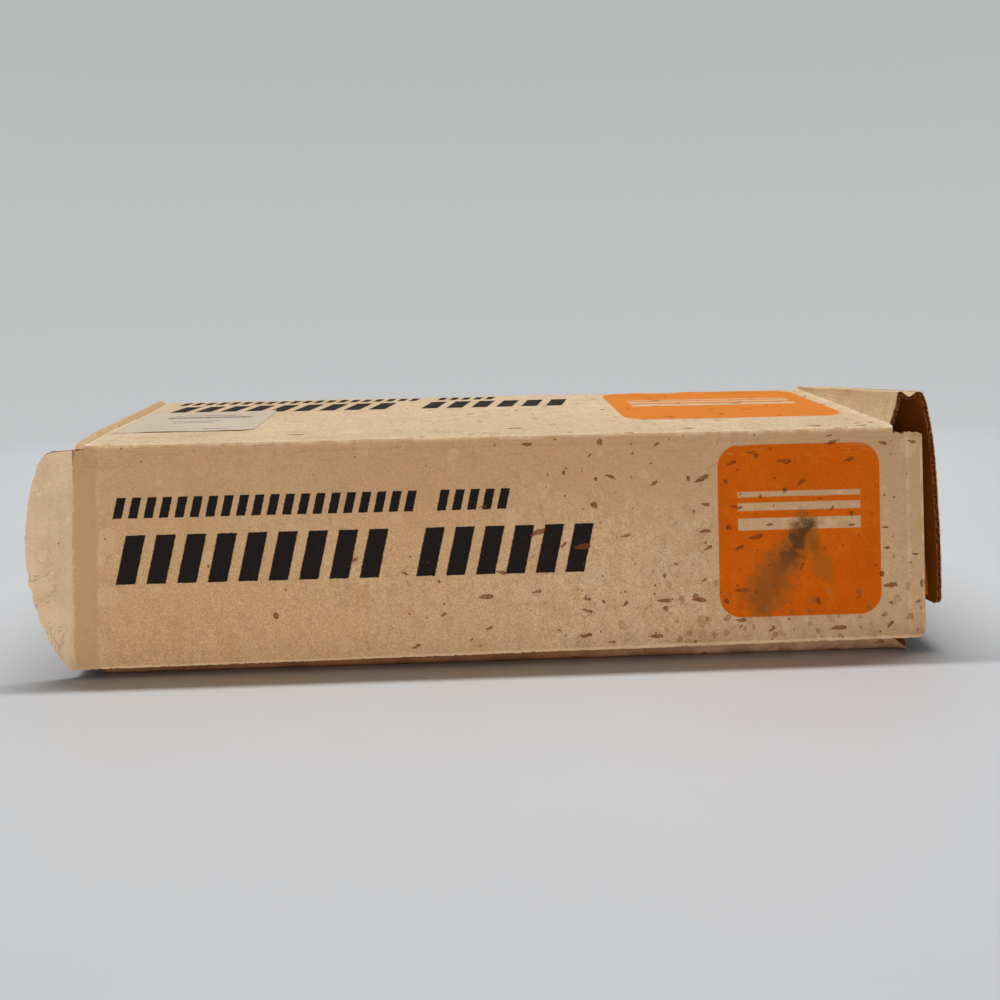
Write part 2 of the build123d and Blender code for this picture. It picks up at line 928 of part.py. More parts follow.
def carbon_brushes():
    """The two brushes."""
    start = commutator_radius * math.cos(math.asin(brush_width / 2 / commutator_radius))
    end = commutator_radius + brush_length
    return Compound(children=brush_pair(start, end, brush_width / 2, commutator_radius + running_gap))


def brush_springs():
    """The springs that press the brushes in."""
    middle = commutator_at + commutator_length / 2
    start = commutator_radius + brush_length
    springs = []
    for side in (-1, 1):
        w0, w1 = sorted((side * start, side * brush_holder_end))
        sleeve = crossrod(middle, shaft_v, w0, w1, brush_spring_radius)
        springs.append(sleeve - crossrod(middle, shaft_v, w0, w1, brush_spring_radius - spring_wire))
    return Compound(children=springs)


# Gear train and blade carriers
wheel_v = shaft_v + worm_radius + wheel_radius + wheel_mesh_gap


def drive_worm():
    """The worm on the shaft's front end."""
    worm = on_shaft(worm_at, worm_length, worm_radius)
    count = int(worm_length / worm_spacing)
    for number in range(count):
        u = worm_at + (number + 1 / 2) * worm_length / count - worm_groove / 2
        ring = hrod(u, u + worm_groove, shaft_v, 0, worm_radius)
        worm -= ring - hrod(u, u + worm_groove, shaft_v, 0, worm_radius - worm_groove / 2)
    return worm


def worm_wheel():
    """The toothed wheel that the worm turns."""
    half = wheel_thickness / 2
    wheel = crossrod(wheel_at, wheel_v, -half, half, wheel_radius)
    gap_radius = wheel_tooth_depth / 2
    pitch_radius = wheel_radius - gap_radius / 2
    for number in range(wheel_teeth):
        angle = 2 * math.pi * number / wheel_teeth
        u = wheel_at + pitch_radius * math.cos(angle)
        v = wheel_v + pitch_radius * math.sin(angle)
        wheel -= crossrod(u, v, -half, half, gap_radius)
    return wheel - crossrod(wheel_at, wheel_v, -half, half, axle_radius + running_gap)


def crank_pins():
    """The wheel's two crank pins, half a turn apart on its two faces."""
    half = wheel_thickness / 2
    pins = [
        crossrod(wheel_at + crank_throw, wheel_v, half, half + crank_pin_length, crank_pin_radius),
        crossrod(wheel_at - crank_throw, wheel_v, -half - crank_pin_length, -half, crank_pin_radius),
    ]
    return Compound(children=pins)


def wheel_axle():
    """The axle across the housing that the wheel turns on."""
    return crossrod(wheel_at, wheel_v, -inner_half_width, inner_half_width, axle_radius)


def blade_carrier(side):
    """A sliding carrier: a frame round the crank pin, an arm, and the socket that takes a tang."""
    w0, w1 = sorted((side * carrier_offset, side * (carrier_offset + carrier_thickness)))
    out_u = window_half + carrier_frame
    out_v = window_tall + carrier_frame
    frame = hblock(wheel_at - out_u, wheel_at + out_u, w0, w1, wheel_v - out_v, wheel_v + out_v)
    half = carrier_bar_height / 2
    arm_points = [
        (hx(wheel_at + out_u - carrier_frame), hz(wheel_v + carrier_frame)),
        (hx(wheel_at + out_u - carrier_frame), hz(wheel_v - out_v)),
        (hx(carrier_bar_at - carrier_bar_height), hz(-half)),
        (hx(socket_at + carrier_frame), hz(-half)),
        (hx(socket_at + carrier_frame), hz(half)),
        (hx(carrier_bar_at), hz(half)),
    ]
    arm = prism_y(arm_points, handle_middle_y + w0, handle_middle_y + w1)
    window = hblock(
        wheel_at - window_half, wheel_at + window_half, w0, w1, wheel_v - window_tall, wheel_v + window_tall
    )
    s0, s1 = sorted((side * socket_inner, side * (carrier_offset + carrier_thickness)))
    end = socket_at + socket_length
    socket = hblock(socket_at, end, s0, s1, -half, half)
    t0, t1 = sorted((
        side * (socket_inner + tang_socket_wall), side * (socket_inner + tang_socket_wall + tang_socket_width)
    ))
    slot_half = half - tang_socket_margin / 2
    slot = hblock(end - tang_socket_depth, end, t0, t1, -slot_half, slot_half)
    return frame - window + arm + socket - slot


def carrier_guide():
    """The block whose two channels guide the carriers."""
    half = guide_width / 2
    end = guide_at + guide_length
    guide = hblock(guide_at, end, -half, half, guide_low, guide_high)
    tall = carrier_bar_height / 2 + guide_gap
    for side in (-1, 1):
        inner = side * (carrier_offset - guide_gap)
        outer = side * (carrier_offset + carrier_thickness + guide_gap)
        w0, w1 = sorted((inner, outer))
        guide -= hblock(guide_at, end, w0, w1, -tall, tall)
    return guide


# Controls
flange_low = grip_inner_v + button_gap
flange_high = flange_low + trigger_flange


def trigger():
    """The trigger under the grip, with the flange that keeps it in."""
    half = trigger_width / 2
    end = trigger_at + trigger_length
    low = grip_inner_v - shell_wall - trigger_travel - trigger_rest
    pad = hblock(trigger_at, end, -half, half, low, flange_high)
    pad = fillet(pad.edges().group_by(Axis.Z)[0], trigger_edge)
    lip = half + trigger_lip
    return pad + hblock(trigger_at - trigger_lip, end + trigger_lip, -lip, lip, flange_low, flange_high)


switch_low = flange_high + trigger_travel + spring_solid


def switch_body():
    """The switch above the trigger, with its two terminals."""
    half = switch_width / 2
    high = switch_low + switch_height
    body = hblock(switch_at, switch_at + switch_length, -half, half, switch_low, high)
    for side in (-1, 1):
        w = side * half / 2
        end = switch_at + switch_length
        body += hblock(
            end, end + switch_terminal, w - spring_wire, w + spring_wire,
            switch_low + part_gap, high - part_gap,
        )
    return body


def trigger_spring():
    """The spring that returns the trigger."""
    x = hx(trigger_spring_at)
    return tube_z(hz(flange_high), hz(switch_low), x, handle_middle_y, spring_radius, spring_wire)


def lock_button():
    """The sliding safety lock on top of the handle."""
    half = lock_width / 2
    end = lock_at + lock_length
    cap_low = surface_v(end + lock_travel + lock_cap_lip) + button_gap
    lip = lock_cap_lip
    neck_low = surface_v(lock_at) - shell_wall - button_gap * 2 - lock_flange
    button = hblock(lock_at, end, -half, half, neck_low, cap_low + lock_cap_height)
    cap = hblock(lock_at - lip, end + lip, -half - lip, half + lip, cap_low, cap_low + lock_cap_height)
    button += fillet(cap.edges().filter_by(Axis.Z), lip)
    return button + hblock(
        lock_at - lip, end + lip, -half - lip, half + lip, neck_low, neck_low + lock_flange
    )


release_high = surface_v(release_at) + release_travel + button_gap
release_flange_high = surface_v(release_at + release_length) - shell_wall - button_gap
release_flange_low = release_flange_high - release_flange


def release_button():
    """The blade release on top of the nose, with its flange."""
    half = release_width / 2
    end = release_at + release_length
    button = hblock(release_at, end, -half, half, release_flange_low, release_high)
    button = fillet(button.edges().group_by(Axis.Z)[-1], trigger_edge)
    lip = half + trigger_edge
    return button + hblock(
        release_at - trigger_edge, end + trigger_edge, -lip, lip, release_flange_low, release_flange_high
    )


def release_spring():
    """The spring under the blade release."""
    middle = hx(release_at + release_length / 2)
    return tube_z(hz(guide_high), hz(release_flange_low), middle, handle_middle_y, spring_radius, spring_wire)


# Blades
guard_x0 = tray_x0 + board + guard_end_gap
guard_x1 = tray_x1 - board - guard_end_gap
guard_room = blade_thickness * 2 + blade_slide_gap * 2 + rivet_head_height + guard_gap * 2
blade_z = tray_floor_z + guard_wall + guard_gap
second_blade_z = blade_z + blade_thickness + blade_slide_gap
blade_x0 = guard_x0 + blade_end_gap
blade_x1 = blade_x0 + blade_total
spine_y = guard_y + guard_width - guard_wall
edge_y = spine_y - blade_width
rivet_x = blade_x1 - rivet_from_tip
rivet_y = spine_y - tip_width / 2


def blade_guard():
    """The channel that covers the blades' edges, open along the spine."""
    top = tray_floor_z + guard_wall * 2 + guard_room
    outer = block(guard_x0, guard_x1, guard_y, guard_y + guard_width, tray_floor_z, top)
    low = tray_floor_z + guard_wall
    inner_y = guard_y + guard_wall
    return outer - block(guard_x0, guard_x1, inner_y, guard_y + guard_width, low, top - guard_wall)


def blade(z0):
    """A scalloped blade with its tang, lying flat."""
    tang_low = spine_y - (blade_width + tang_width) / 2
    points = [
        (blade_x0, tang_low),
        (blade_x0 + tang_length, tang_low),
        (blade_x0 + tang_length, edge_y),
        (blade_x1 - tip_length, edge_y),
        (blade_x1, spine_y - tip_width / 2),
        (blade_x1 - tip_width / 2, spine_y),
        (blade_x0 + tang_length, spine_y),
        (blade_x0 + tang_length, tang_low + tang_width),
        (blade_x0, tang_low + tang_width),
    ]
    outline = Polygon(*points, align=None)
    edge_length = blade_total - tang_length - tip_length
    count = int(edge_length / scallop_spacing)
    centre_y = edge_y - scallop_radius + scallop_depth
    for number in range(count):
        x = blade_x0 + tang_length + (number + 1 / 2) * edge_length / count
        outline -= Pos(x, centre_y) * Circle(scallop_radius)
    outline -= Pos(blade_x0 + tang_notch_at, tang_low) * Circle(tang_notch_radius)
    return extrude(Pos(0, 0, z0) * outline, amount=blade_thickness)


def lower_blade():
    """The blade that carries the rivet."""
    hole = rod_z(blade_z, blade_z + blade_thickness, rivet_x, rivet_y, rivet_radius)
    return blade(blade_z) - hole


def upper_blade():
    """The blade that slides along the rivet, in a slot."""
    reach = blade_travel + guard_gap
    half = rivet_radius + blade_slide_gap
    top = second_blade_z + blade_thickness
    slot = block(rivet_x - reach, rivet_x + reach, rivet_y - half, rivet_y + half, second_blade_z, top)
    for end in (-reach, reach):
        slot += rod_z(second_blade_z, top, rivet_x + end, rivet_y, half)
    return blade(second_blade_z) - slot


def blade_rivet():
    """The rivet that keeps the blade tips together."""
    head_z = second_blade_z + blade_thickness + blade_slide_gap
    rivet = rod_z(blade_z, head_z, rivet_x, rivet_y, rivet_radius)
    return rivet + rod_z(head_z, head_z + rivet_head_height, rivet_x, rivet_y, rivet_head_radius)


pieces = {
    "front_panel": front_panel(),
    "top_panel": top_panel(),
    "back_panel": back_panel(),
    "bottom_panel": bottom_panel(),
    "glue_tab": glue_tab(),
    "left_shoulder": left_shoulder(),
    "paper_label": paper_label(),
    "left_front_dust_flap": left_front_dust_flap(),
    "left_back_dust_flap": left_back_dust_flap(),
    "right_front_dust_flap": right_front_dust_flap(),
    "right_back_dust_flap": right_back_dust_flap(),
    "left_closure": left_closure(),
    "left_tuck_tab": left_tuck_tab(),
    "right_riser": right_riser(),
    "right_bridge": right_bridge(),
    "right_closure": right_closure(),
    "right_tuck_tab": right_tuck_tab(),
    "inner_tray": inner_tray(),
    "tray_divider": tray_divider(),
    "rear_cradle": cradle(rear_cradle_at),
    "front_cradle": cradle(front_cradle_at),
    "left_shell": shell(1),
    "right_shell": shell(-1),
    "housing_screws": housing_screws(),
    "nose_plate": nose_plate(),
    "inlet_housing": inlet_housing(),
    "inlet_pins": inlet_pins(),
    "rear_bracket": bearing_bracket(rear_bracket_at),
    "front_bracket": bearing_bracket(front_bracket_at),
    "rear_bearing": bearing(rear_bracket_at),
    "front_bearing": bearing(front_bracket_at),
    "motor_shaft": motor_shaft(),
    "commutator": commutator(),
    "armature_core": armature_core(),
    "armature_winding": armature_winding(),
    "stator_core": stator_core(),
    "field_coils": field_coils(),
    "cooling_fan": cooling_fan(),
    "brush_holders": brush_holders(),
    "carbon_brushes": carbon_brushes(),
    "brush_springs": brush_springs(),
    "drive_worm": drive_worm(),
    "worm_wheel": worm_wheel(),
    "crank_pins": crank_pins(),
    "wheel_axle": wheel_axle(),
    "left_blade_carrier": blade_carrier(1),
    "right_blade_carrier": blade_carrier(-1),
    "carrier_guide": carrier_guide(),
    "trigger": trigger(),
    "switch_body": switch_body(),
    "trigger_spring": trigger_spring(),
    "lock_button": lock_button(),
    "release_button": release_button(),
    "release_spring": release_spring(),
    "blade_guard": blade_guard(),
    "lower_blade": lower_blade(),
    "upper_blade": upper_blade(),
    "blade_rivet": blade_rivet(),
}

os.makedirs("parts", exist_ok=True)
for name, piece in pieces.items():
    export_step(piece, f"parts/{name}.step")
    print(name, round(piece.volume))
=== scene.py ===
"""Dresses the boxed electric knife: the worn corrugated carton, its tray and the knife packed in it."""

import json
import math
import random

import bmesh
import bpy
from bpy.props import FloatProperty, FloatVectorProperty, PointerProperty
from mathutils import Matrix, Vector, noise

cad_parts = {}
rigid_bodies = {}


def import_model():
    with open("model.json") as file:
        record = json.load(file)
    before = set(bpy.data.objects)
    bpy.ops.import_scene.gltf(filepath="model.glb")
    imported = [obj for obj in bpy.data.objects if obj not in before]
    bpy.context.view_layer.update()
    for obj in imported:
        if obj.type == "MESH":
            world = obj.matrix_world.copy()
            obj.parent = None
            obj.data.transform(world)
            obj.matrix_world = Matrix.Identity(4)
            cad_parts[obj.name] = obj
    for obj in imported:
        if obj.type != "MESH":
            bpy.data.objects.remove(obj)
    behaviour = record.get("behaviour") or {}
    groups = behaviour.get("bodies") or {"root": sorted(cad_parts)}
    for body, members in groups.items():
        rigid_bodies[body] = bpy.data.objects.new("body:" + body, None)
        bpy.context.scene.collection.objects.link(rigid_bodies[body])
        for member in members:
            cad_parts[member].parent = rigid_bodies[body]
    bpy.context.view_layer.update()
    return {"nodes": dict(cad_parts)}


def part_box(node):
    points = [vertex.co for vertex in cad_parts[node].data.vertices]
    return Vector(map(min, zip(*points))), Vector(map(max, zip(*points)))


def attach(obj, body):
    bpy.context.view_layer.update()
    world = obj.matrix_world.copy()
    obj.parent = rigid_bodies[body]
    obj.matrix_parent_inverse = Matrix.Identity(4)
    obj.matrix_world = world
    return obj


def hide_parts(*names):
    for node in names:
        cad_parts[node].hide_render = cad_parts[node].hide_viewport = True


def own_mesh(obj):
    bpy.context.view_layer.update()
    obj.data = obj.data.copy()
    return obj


bl_info = {
    "name": "Boxed carving knife",
    "version": (1, 0, 0),
    "blender": (4, 5, 0),
    "location": "3D View > Sidebar > Boxed knife",
    "description": "Builds the worn corrugated carton and finishes the tray and the electric knife in it",
    "category": "Object",
}

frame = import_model()
# The springs under the buttons, in metres and turns.
SPRING_WIRE, SPRING_TURNS = 0.0007, 3
# Half the width of a print's soft edge. The bars' pitch, inked share and slant. The paper's relief and strength.
PRINT_EDGE = 0.0001
SMALL_BARS, LARGE_BARS = (0.0060, 0.60, 0.22), (0.0119, 0.64, 0.22)
PAPER_BUMP = (0.00014, 0.6)
# An edge sharper than this, in degrees, shows as an edge. Points closer than the weld's reach are one.
SHARP_ANGLE, WELD_REACH = 40, 0.00001
# How far the front's foot rises to the right, and the radius of its lower right corner.
FRONT_RISE, FRONT_CORNER = 0.0024, 0.003
# The right end: its lean and splay in degrees, the riser's height at the front and at the back, the valley between
# its ridges there, the ridge's radius, the closure's bow and how soon it bends, and its cut corners.
RISER_LEAN, CLOSURE_SPLAY = 74, 3.8
RISER_WIDTHS, RISER_VALLEYS = (0.014, 0.0018), (0.0020, 0.0005)
RIDGE_RADIUS, CLOSURE_BOW, BOW_START, CLOSURE_CORNER = 0.0019, 0.0030, 0.014, 0.0030
# The camera as fitted to the photograph: its place, and its yaw, pitch and roll in degrees.
CAMERA_PLACE, CAMERA_TURN = (-0.017618, -0.46942, 0.160844), (2.4091, -0.5582, -0.9159)
# Half the table's width. The light from all round. The slopes of view between which the wall's tone changes.
TABLE_HALF, SKY_LIGHT, WALL_SLOPES = 3, 0.09, (-0.17, 0.22)
# What the lamps point at.
LAMP_TARGET = (0.0, 0.0, 0.05)

FRONT_LOW, FRONT_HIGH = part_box("front_panel")
TOP_LOW, TOP_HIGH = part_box("top_panel")
BACK_LOW, BACK_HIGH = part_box("back_panel")
BASE_LOW, BASE_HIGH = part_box("bottom_panel")
TAB_LOW, TAB_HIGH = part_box("glue_tab")
LABEL_LOW, LABEL_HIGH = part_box("paper_label")
CRESCENT_LOW, CRESCENT_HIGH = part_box("left_front_dust_flap")
CLOSURE_LOW, CLOSURE_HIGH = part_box("left_closure")
RISER_LOW, RISER_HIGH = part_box("right_riser")


def linear(red, green, blue):
    """A colour given as it looks on a screen, 0 to 255, as Blender's linear values."""
    shares = [value / 255 for value in (red, green, blue)]
    return tuple(s / 12.92 if s <= 0.04045 else ((s + 0.055) / 1.055) ** 2.4 for s in shares)


def shade(tone, factor):
    """A colour times a factor, at most full."""
    return tuple(min(1.0, part * factor) for part in tone)


def length_setting(name, description, default):
    """A length that a user can set, in metres."""
    return FloatProperty(name=name, description=description, default=default, unit="LENGTH", precision=4)


def colour_setting(name, description, default):
    """A colour that a user can set."""
    return FloatVectorProperty(
        name=name, description=description, default=default, subtype="COLOR", size=3, min=0, max=1
    )


class CartonSizes(bpy.types.PropertyGroup):
    """Sizes of the carton's board and of its wear."""

    board: length_setting("Board", "Thickness of the corrugated board", TOP_HIGH.z - TOP_LOW.z)
    liner: length_setting("Liner", "Thickness of one liner sheet", 0.00036)
    crease: length_setting("Crease radius", "Outer radius of the long creases", 0.0016)
    roll: length_setting("Roll radius", "Outer radius of the base's front crease", 0.0034)
    flute: length_setting("Flute pitch", "Distance between two flutes", 0.0046)
    ragged: length_setting("Ragged edge", "Height of the teeth along the front's lower edge", 0.0005)
    crushed: length_setting("Crushed board", "Thickness of the board where it is crushed at the right end", 0.0014)
    warp: length_setting("Warp", "How far the panels wander from flat", 0.0003)
    column: length_setting("Column", "Width of one column of the fine panel meshes", 0.0009)


class CartonColours(bpy.types.PropertyGroup):
    """Colours of the carton, its print and its stains."""

    front: colour_setting("Front", "Printed board on the front", linear(203, 161, 117))
    front_pale: colour_setting("Front, pale", "Faded parts of the front", linear(209, 173, 134))
    # Painted sheen: top and top_pale are paler than front and front_pale for the glare of light across the top.
    top: colour_setting("Top", "Printed board on the top", linear(212, 184, 149))
    top_pale: colour_setting("Top, pale", "Faded parts of the top", linear(220, 196, 164))
    crescent: colour_setting("Flap", "The flap that stands out at the left", linear(214, 182, 148))
    inside: colour_setting("Inside", "The unprinted inner liner", linear(160, 80, 18))
    edge: colour_setting("Cut edge", "Cut edges of the board", linear(142, 84, 46))
    orange: colour_setting("Orange print", "The large printed panel", linear(203, 89, 0))
    # Painted sheen: paler than the front's orange for the glare of light across the top.
    orange_top: colour_setting("Orange print, top", "The printed panel on the top", linear(214, 123, 40))
    ink: colour_setting("Black print", "The plain printed bars", linear(28, 22, 20))
    stain: colour_setting("Stain", "Dried brown drops", linear(118, 58, 20))
    rim: colour_setting("Stain rim", "The dark rims of dried drops", linear(84, 38, 14))
    label: colour_setting("Label", "The paper label", linear(198, 186, 173))


class KnifeColours(bpy.types.PropertyGroup):
    """Colours of the tray and the knife."""

    housing: colour_setting("Housing", "Moulded housing of the handle", linear(112, 116, 52))
    button: colour_setting("Buttons", "Trigger, lock and release", linear(36, 33, 29))
    black: colour_setting("Black plastic", "Inlet, switch and brush holders", linear(24, 23, 22))
    guard: colour_setting("Guard", "The sleeve round the blades", linear(196, 186, 160))
    steel: colour_setting("Steel", "Blades and small bright parts", linear(196, 198, 200))
    core: colour_setting("Core", "Laminated motor iron", linear(120, 118, 116))
    copper: colour_setting("Copper", "Windings and commutator", linear(196, 112, 62))
    brass: colour_setting("Brass", "Bearings and pins", linear(204, 168, 88))
    carbon: colour_setting("Carbon", "The two brushes", linear(38, 38, 40))
    nylon: colour_setting("Nylon", "Worm wheel, fan and blade carriers", linear(222, 214, 194))


class StageSettings(bpy.types.PropertyGroup):
    """The camera, the table and the lights."""

    lens: FloatProperty(name="Lens", description="Focal length on a 36 mm sensor", default=36.934, unit="CAMERA")
    shift: FloatProperty(name="Shift", description="Vertical shift of the frame", default=-0.2496)
    table: colour_setting("Table", "The pale table top", linear(223, 226, 229))
    wall: colour_setting("Wall", "The pale wall behind the table", linear(195, 197, 198))
    wall_high: colour_setting("Wall, high", "The same wall higher up", linear(184, 186, 186))
    table_back: length_setting("Table's back edge", "Where the table meets the wall", 0.5)
    lamp: FloatProperty(name="Lamp", description="Power of the strip lamp overhead", default=9.6, unit="POWER")
    soft: FloatProperty(name="Soft lamp", description="Power of the wide lamp behind it", default=3.0, unit="POWER")
    fill: FloatProperty(name="Fill", description="Power of the low, soft lamp in front", default=21.0, unit="POWER")
    side: FloatProperty(name="Sides", description="Power of the low lamp at each side", default=3.2, unit="POWER")


class Finish:
    """A procedural material, with short calls that add and join its nodes."""

    def __init__(self, name, roughness=0.6, metallic=0.0, specular=0.5):
        self.material = bpy.data.materials.new(name)
        self.material.use_nodes = True
        self.tree = self.material.node_tree
        self.shader = self.tree.nodes["Principled BSDF"]
        self.shader.inputs["Roughness"].default_value = roughness
        self.shader.inputs["Metallic"].default_value = metallic
        self.shader.inputs["Specular IOR Level"].default_value = specular
        self.place = self.node("ShaderNodeTexCoord").outputs["Object"]
        split = self.node("ShaderNodeSeparateXYZ", (self.place,))
        self.x, self.y, self.z = split.outputs[:3]

    def put(self, value, socket):
        """Joins a socket or sets a value."""
        if isinstance(value, bpy.types.NodeSocket):
            self.tree.links.new(value, socket)
        elif value is not None:
            socket.default_value = value

    def node(self, kind, values=(), **settings):
        """A node with its first inputs and its settings."""
        made = self.tree.nodes.new(kind)
        for name, value in settings.items():
            setattr(made, name, value)
        for value, socket in zip(values, made.inputs):
            self.put(value, socket)
        return made

    def math(self, operation, first, second=None, third=None):
        """One sum."""
        return self.node("ShaderNodeMath", (first, second, third), operation=operation).outputs[0]

    def add(self, first, second):
        """first + second."""
        return self.math("ADD", first, second)

    def times(self, first, second):
        """first times second."""
        return self.math("MULTIPLY", first, second)

    def away(self, value, centre):
        """How far a value is from a centre."""
        return self.math("ABSOLUTE", self.math("SUBTRACT", value, centre))

    def span(self, value, low, high, result_low=0.0, result_high=1.0):
        """A smooth step from one result to another as value goes from low to high."""
        made = self.node("ShaderNodeMapRange", interpolation_type="SMOOTHSTEP")
        for setting, socket in zip((value, low, high, result_low, result_high), made.inputs):
            self.put(setting, socket)
        return made.outputs[0]

    def mix(self, share, first, second):
        """A colour between two others."""
        made = self.node("ShaderNodeMix", data_type="RGBA")
        self.put(share, made.inputs[0])
        for colour, socket in ((first, made.inputs[6]), (second, made.inputs[7])):
            if not isinstance(colour, bpy.types.NodeSocket):
                colour = (*colour[:3], 1)
            self.put(colour, socket)
        return made.outputs[2]

    def spread(self, stretch, place=None):
        """Coordinates stretched along their axes."""
        return self.node(
            "ShaderNodeVectorMath", (place or self.place, Vector(stretch)), operation="MULTIPLY"
        ).outputs[0]

    def noise(self, scale, detail=2.0, rough=0.5, place=None, distortion=0.0):
        """Cloudy noise, about 0 to 1."""
        made = self.node("ShaderNodeTexNoise")
        self.put(place or self.place, made.inputs["Vector"])
        made.inputs["Scale"].default_value = scale
        made.inputs["Detail"].default_value = detail
        made.inputs["Roughness"].default_value = rough
        made.inputs["Distortion"].default_value = distortion
        return made.outputs[0]

    def colour(self, value):
        """Sets the base colour."""
        if not isinstance(value, bpy.types.NodeSocket):
            value = (*value[:3], 1)
        self.put(value, self.shader.inputs["Base Color"])

    def roughness(self, value):
        """Sets the roughness."""
        self.put(value, self.shader.inputs["Roughness"])

    def fade_to(self, colour, share):
        """Lets a stage surface turn into a background colour, for camera and glossy rays."""
        path = self.node("ShaderNodeLightPath")
        seen = self.math("MAXIMUM", path.outputs["Is Camera Ray"], path.outputs["Is Glossy Ray"])
        glow = self.node("ShaderNodeEmission", ((*colour, 1), 1.0))
        blend = self.node("ShaderNodeMixShader", (self.times(share, seen),))
        self.tree.links.new(self.shader.outputs[0], blend.inputs[1])
        self.tree.links.new(glow.outputs[0], blend.inputs[2])
        self.tree.links.new(blend.outputs[0], self.tree.nodes["Material Output"].inputs["Surface"])

    def bump(self, height, distance, strength=1.0):
        """Raises the surface by a height of 0 to 1 times a distance in metres."""
        made = self.node("ShaderNodeBump")
        made.inputs["Strength"].default_value = strength
        made.inputs["Distance"].default_value = distance
        self.put(height, made.inputs["Height"])
        self.put(made.outputs[0], self.shader.inputs["Normal"])


def spots(finish, colour, across, up, seed, pitch, half, share, lean, fill, rim, wobble=0.0008, band=0.72):
    """Scattered dried stains: in each cell of a loose grid one oval with its own turn and size.

    share gives the part of the cells that hold a stain, from a cell's place. fill and rim are pairs of a
    colour and a strength, and band is where the rim starts, as a share of the way to the outline.
    """
    ripple = finish.times(finish.math("SUBTRACT", finish.noise(480, 3, 0.6), 0.5), 2 * wobble)
    ripple_up = finish.times(finish.math("SUBTRACT", finish.noise(530, 3, 0.6), 0.5), 2 * wobble)
    flat = finish.node(
        "ShaderNodeCombineXYZ", (finish.add(finish.add(across, ripple), seed), finish.add(up, ripple_up), 0.0)
    ).outputs[0]
    cells = finish.node("ShaderNodeTexVoronoi", voronoi_dimensions="2D")
    finish.put(flat, cells.inputs["Vector"])
    cells.inputs["Scale"].default_value = 1 / pitch
    chance, turned, sized = finish.node("ShaderNodeSeparateColor", (cells.outputs["Color"],)).outputs[:3]
    centre = finish.node("ShaderNodeSeparateXYZ", (cells.outputs["Position"],))
    local = finish.node("ShaderNodeVectorMath", (flat, cells.outputs["Position"]), operation="SUBTRACT")
    near = finish.node("ShaderNodeSeparateXYZ", (local.outputs[0],))
    turn = finish.math("MULTIPLY_ADD", turned, lean[1] - lean[0], lean[0])
    cosine, sine = finish.math("COSINE", turn), finish.math("SINE", turn)
    size = finish.math("MULTIPLY_ADD", sized, 0.65, 0.35)
    long = finish.add(finish.times(near.outputs[0], cosine), finish.times(near.outputs[1], sine))
    wide = finish.math("SUBTRACT", finish.times(near.outputs[1], cosine), finish.times(near.outputs[0], sine))
    long = finish.math("DIVIDE", long, finish.times(size, half[0]))
    belly = finish.math("MAXIMUM", finish.math("MULTIPLY_ADD", long, 0.45, 1.0), 0.3)
    wide = finish.math("DIVIDE", wide, finish.times(finish.times(size, belly), half[1]))
    reach = finish.math("SQRT", finish.add(finish.times(long, long), finish.times(wide, wide)))
    allowed = share(finish.math("SUBTRACT", centre.outputs[0], seed), centre.outputs[1])
    chosen = finish.math("GREATER_THAN", chance, finish.math("SUBTRACT", 1.0, allowed))
    inside = finish.times(finish.span(reach, 1.04, 0.84), chosen)
    uneven = finish.span(finish.noise(300, 3, 0.65), 0.3, 0.65, 0.72, 1.0)
    colour = finish.mix(finish.times(finish.times(inside, uneven), fill[1]), colour, fill[0])
    outline = finish.times(inside, finish.span(reach, band, min(0.97, band + 0.14)))
    return finish.mix(finish.times(finish.times(outline, uneven), rim[1]), colour, rim[0])


def smear(finish, colour, across, up, start, end, width, tones):
    """A grimy smear along a line, broken up by noise, with a darker core near its start."""
    way = (end[0] - start[0], end[1] - start[1])
    length = math.hypot(*way)
    to_x, to_y = finish.math("SUBTRACT", across, start[0]), finish.math("SUBTRACT", up, start[1])
    along = finish.add(finish.times(to_x, way[0] / length), finish.times(to_y, way[1] / length))
    beside = finish.math("SUBTRACT", finish.times(to_y, way[0] / length), finish.times(to_x, way[1] / length))
    share = finish.span(along, 0.0, length)
    held = finish.math("MINIMUM", finish.math("MAXIMUM", along, 0.0), length)
    past = finish.math("SUBTRACT", along, held)
    reach = finish.math("SQRT", finish.add(finish.times(beside, beside), finish.times(past, past)))
    reach = finish.math("DIVIDE", reach, finish.math("MULTIPLY_ADD", share, width * 0.5, width))
    grit = finish.math("SUBTRACT", finish.noise(230, 5, 0.75), 0.5)
    broken = finish.math("MULTIPLY_ADD", grit, 2.6, reach)
    colour = finish.mix(finish.span(broken, 1.25, 0.65, 0.0, 0.62), colour, tones[0])
    core = finish.times(finish.span(broken, 0.75, 0.15), finish.span(share, 0.9, 0.1, 0.25, 0.9))
    return finish.mix(core, colour, tones[1])


def rounded(finish, across, up, low, high, radius):
    """Distance outside a rectangle with rounded corners, below zero inside it."""
    half = [(b - a) / 2 - radius for a, b in zip(low, high)]
    middle = [(a + b) / 2 for a, b in zip(low, high)]
    sides = []
    for value, centre, reach in zip((across, up), middle, half):
        sides.append(finish.math("MAXIMUM", finish.math("SUBTRACT", finish.away(value, centre), reach), 0.0))
    square = [finish.times(side, side) for side in sides]
    return finish.math("SUBTRACT", finish.math("SQRT", finish.add(*square)), radius)


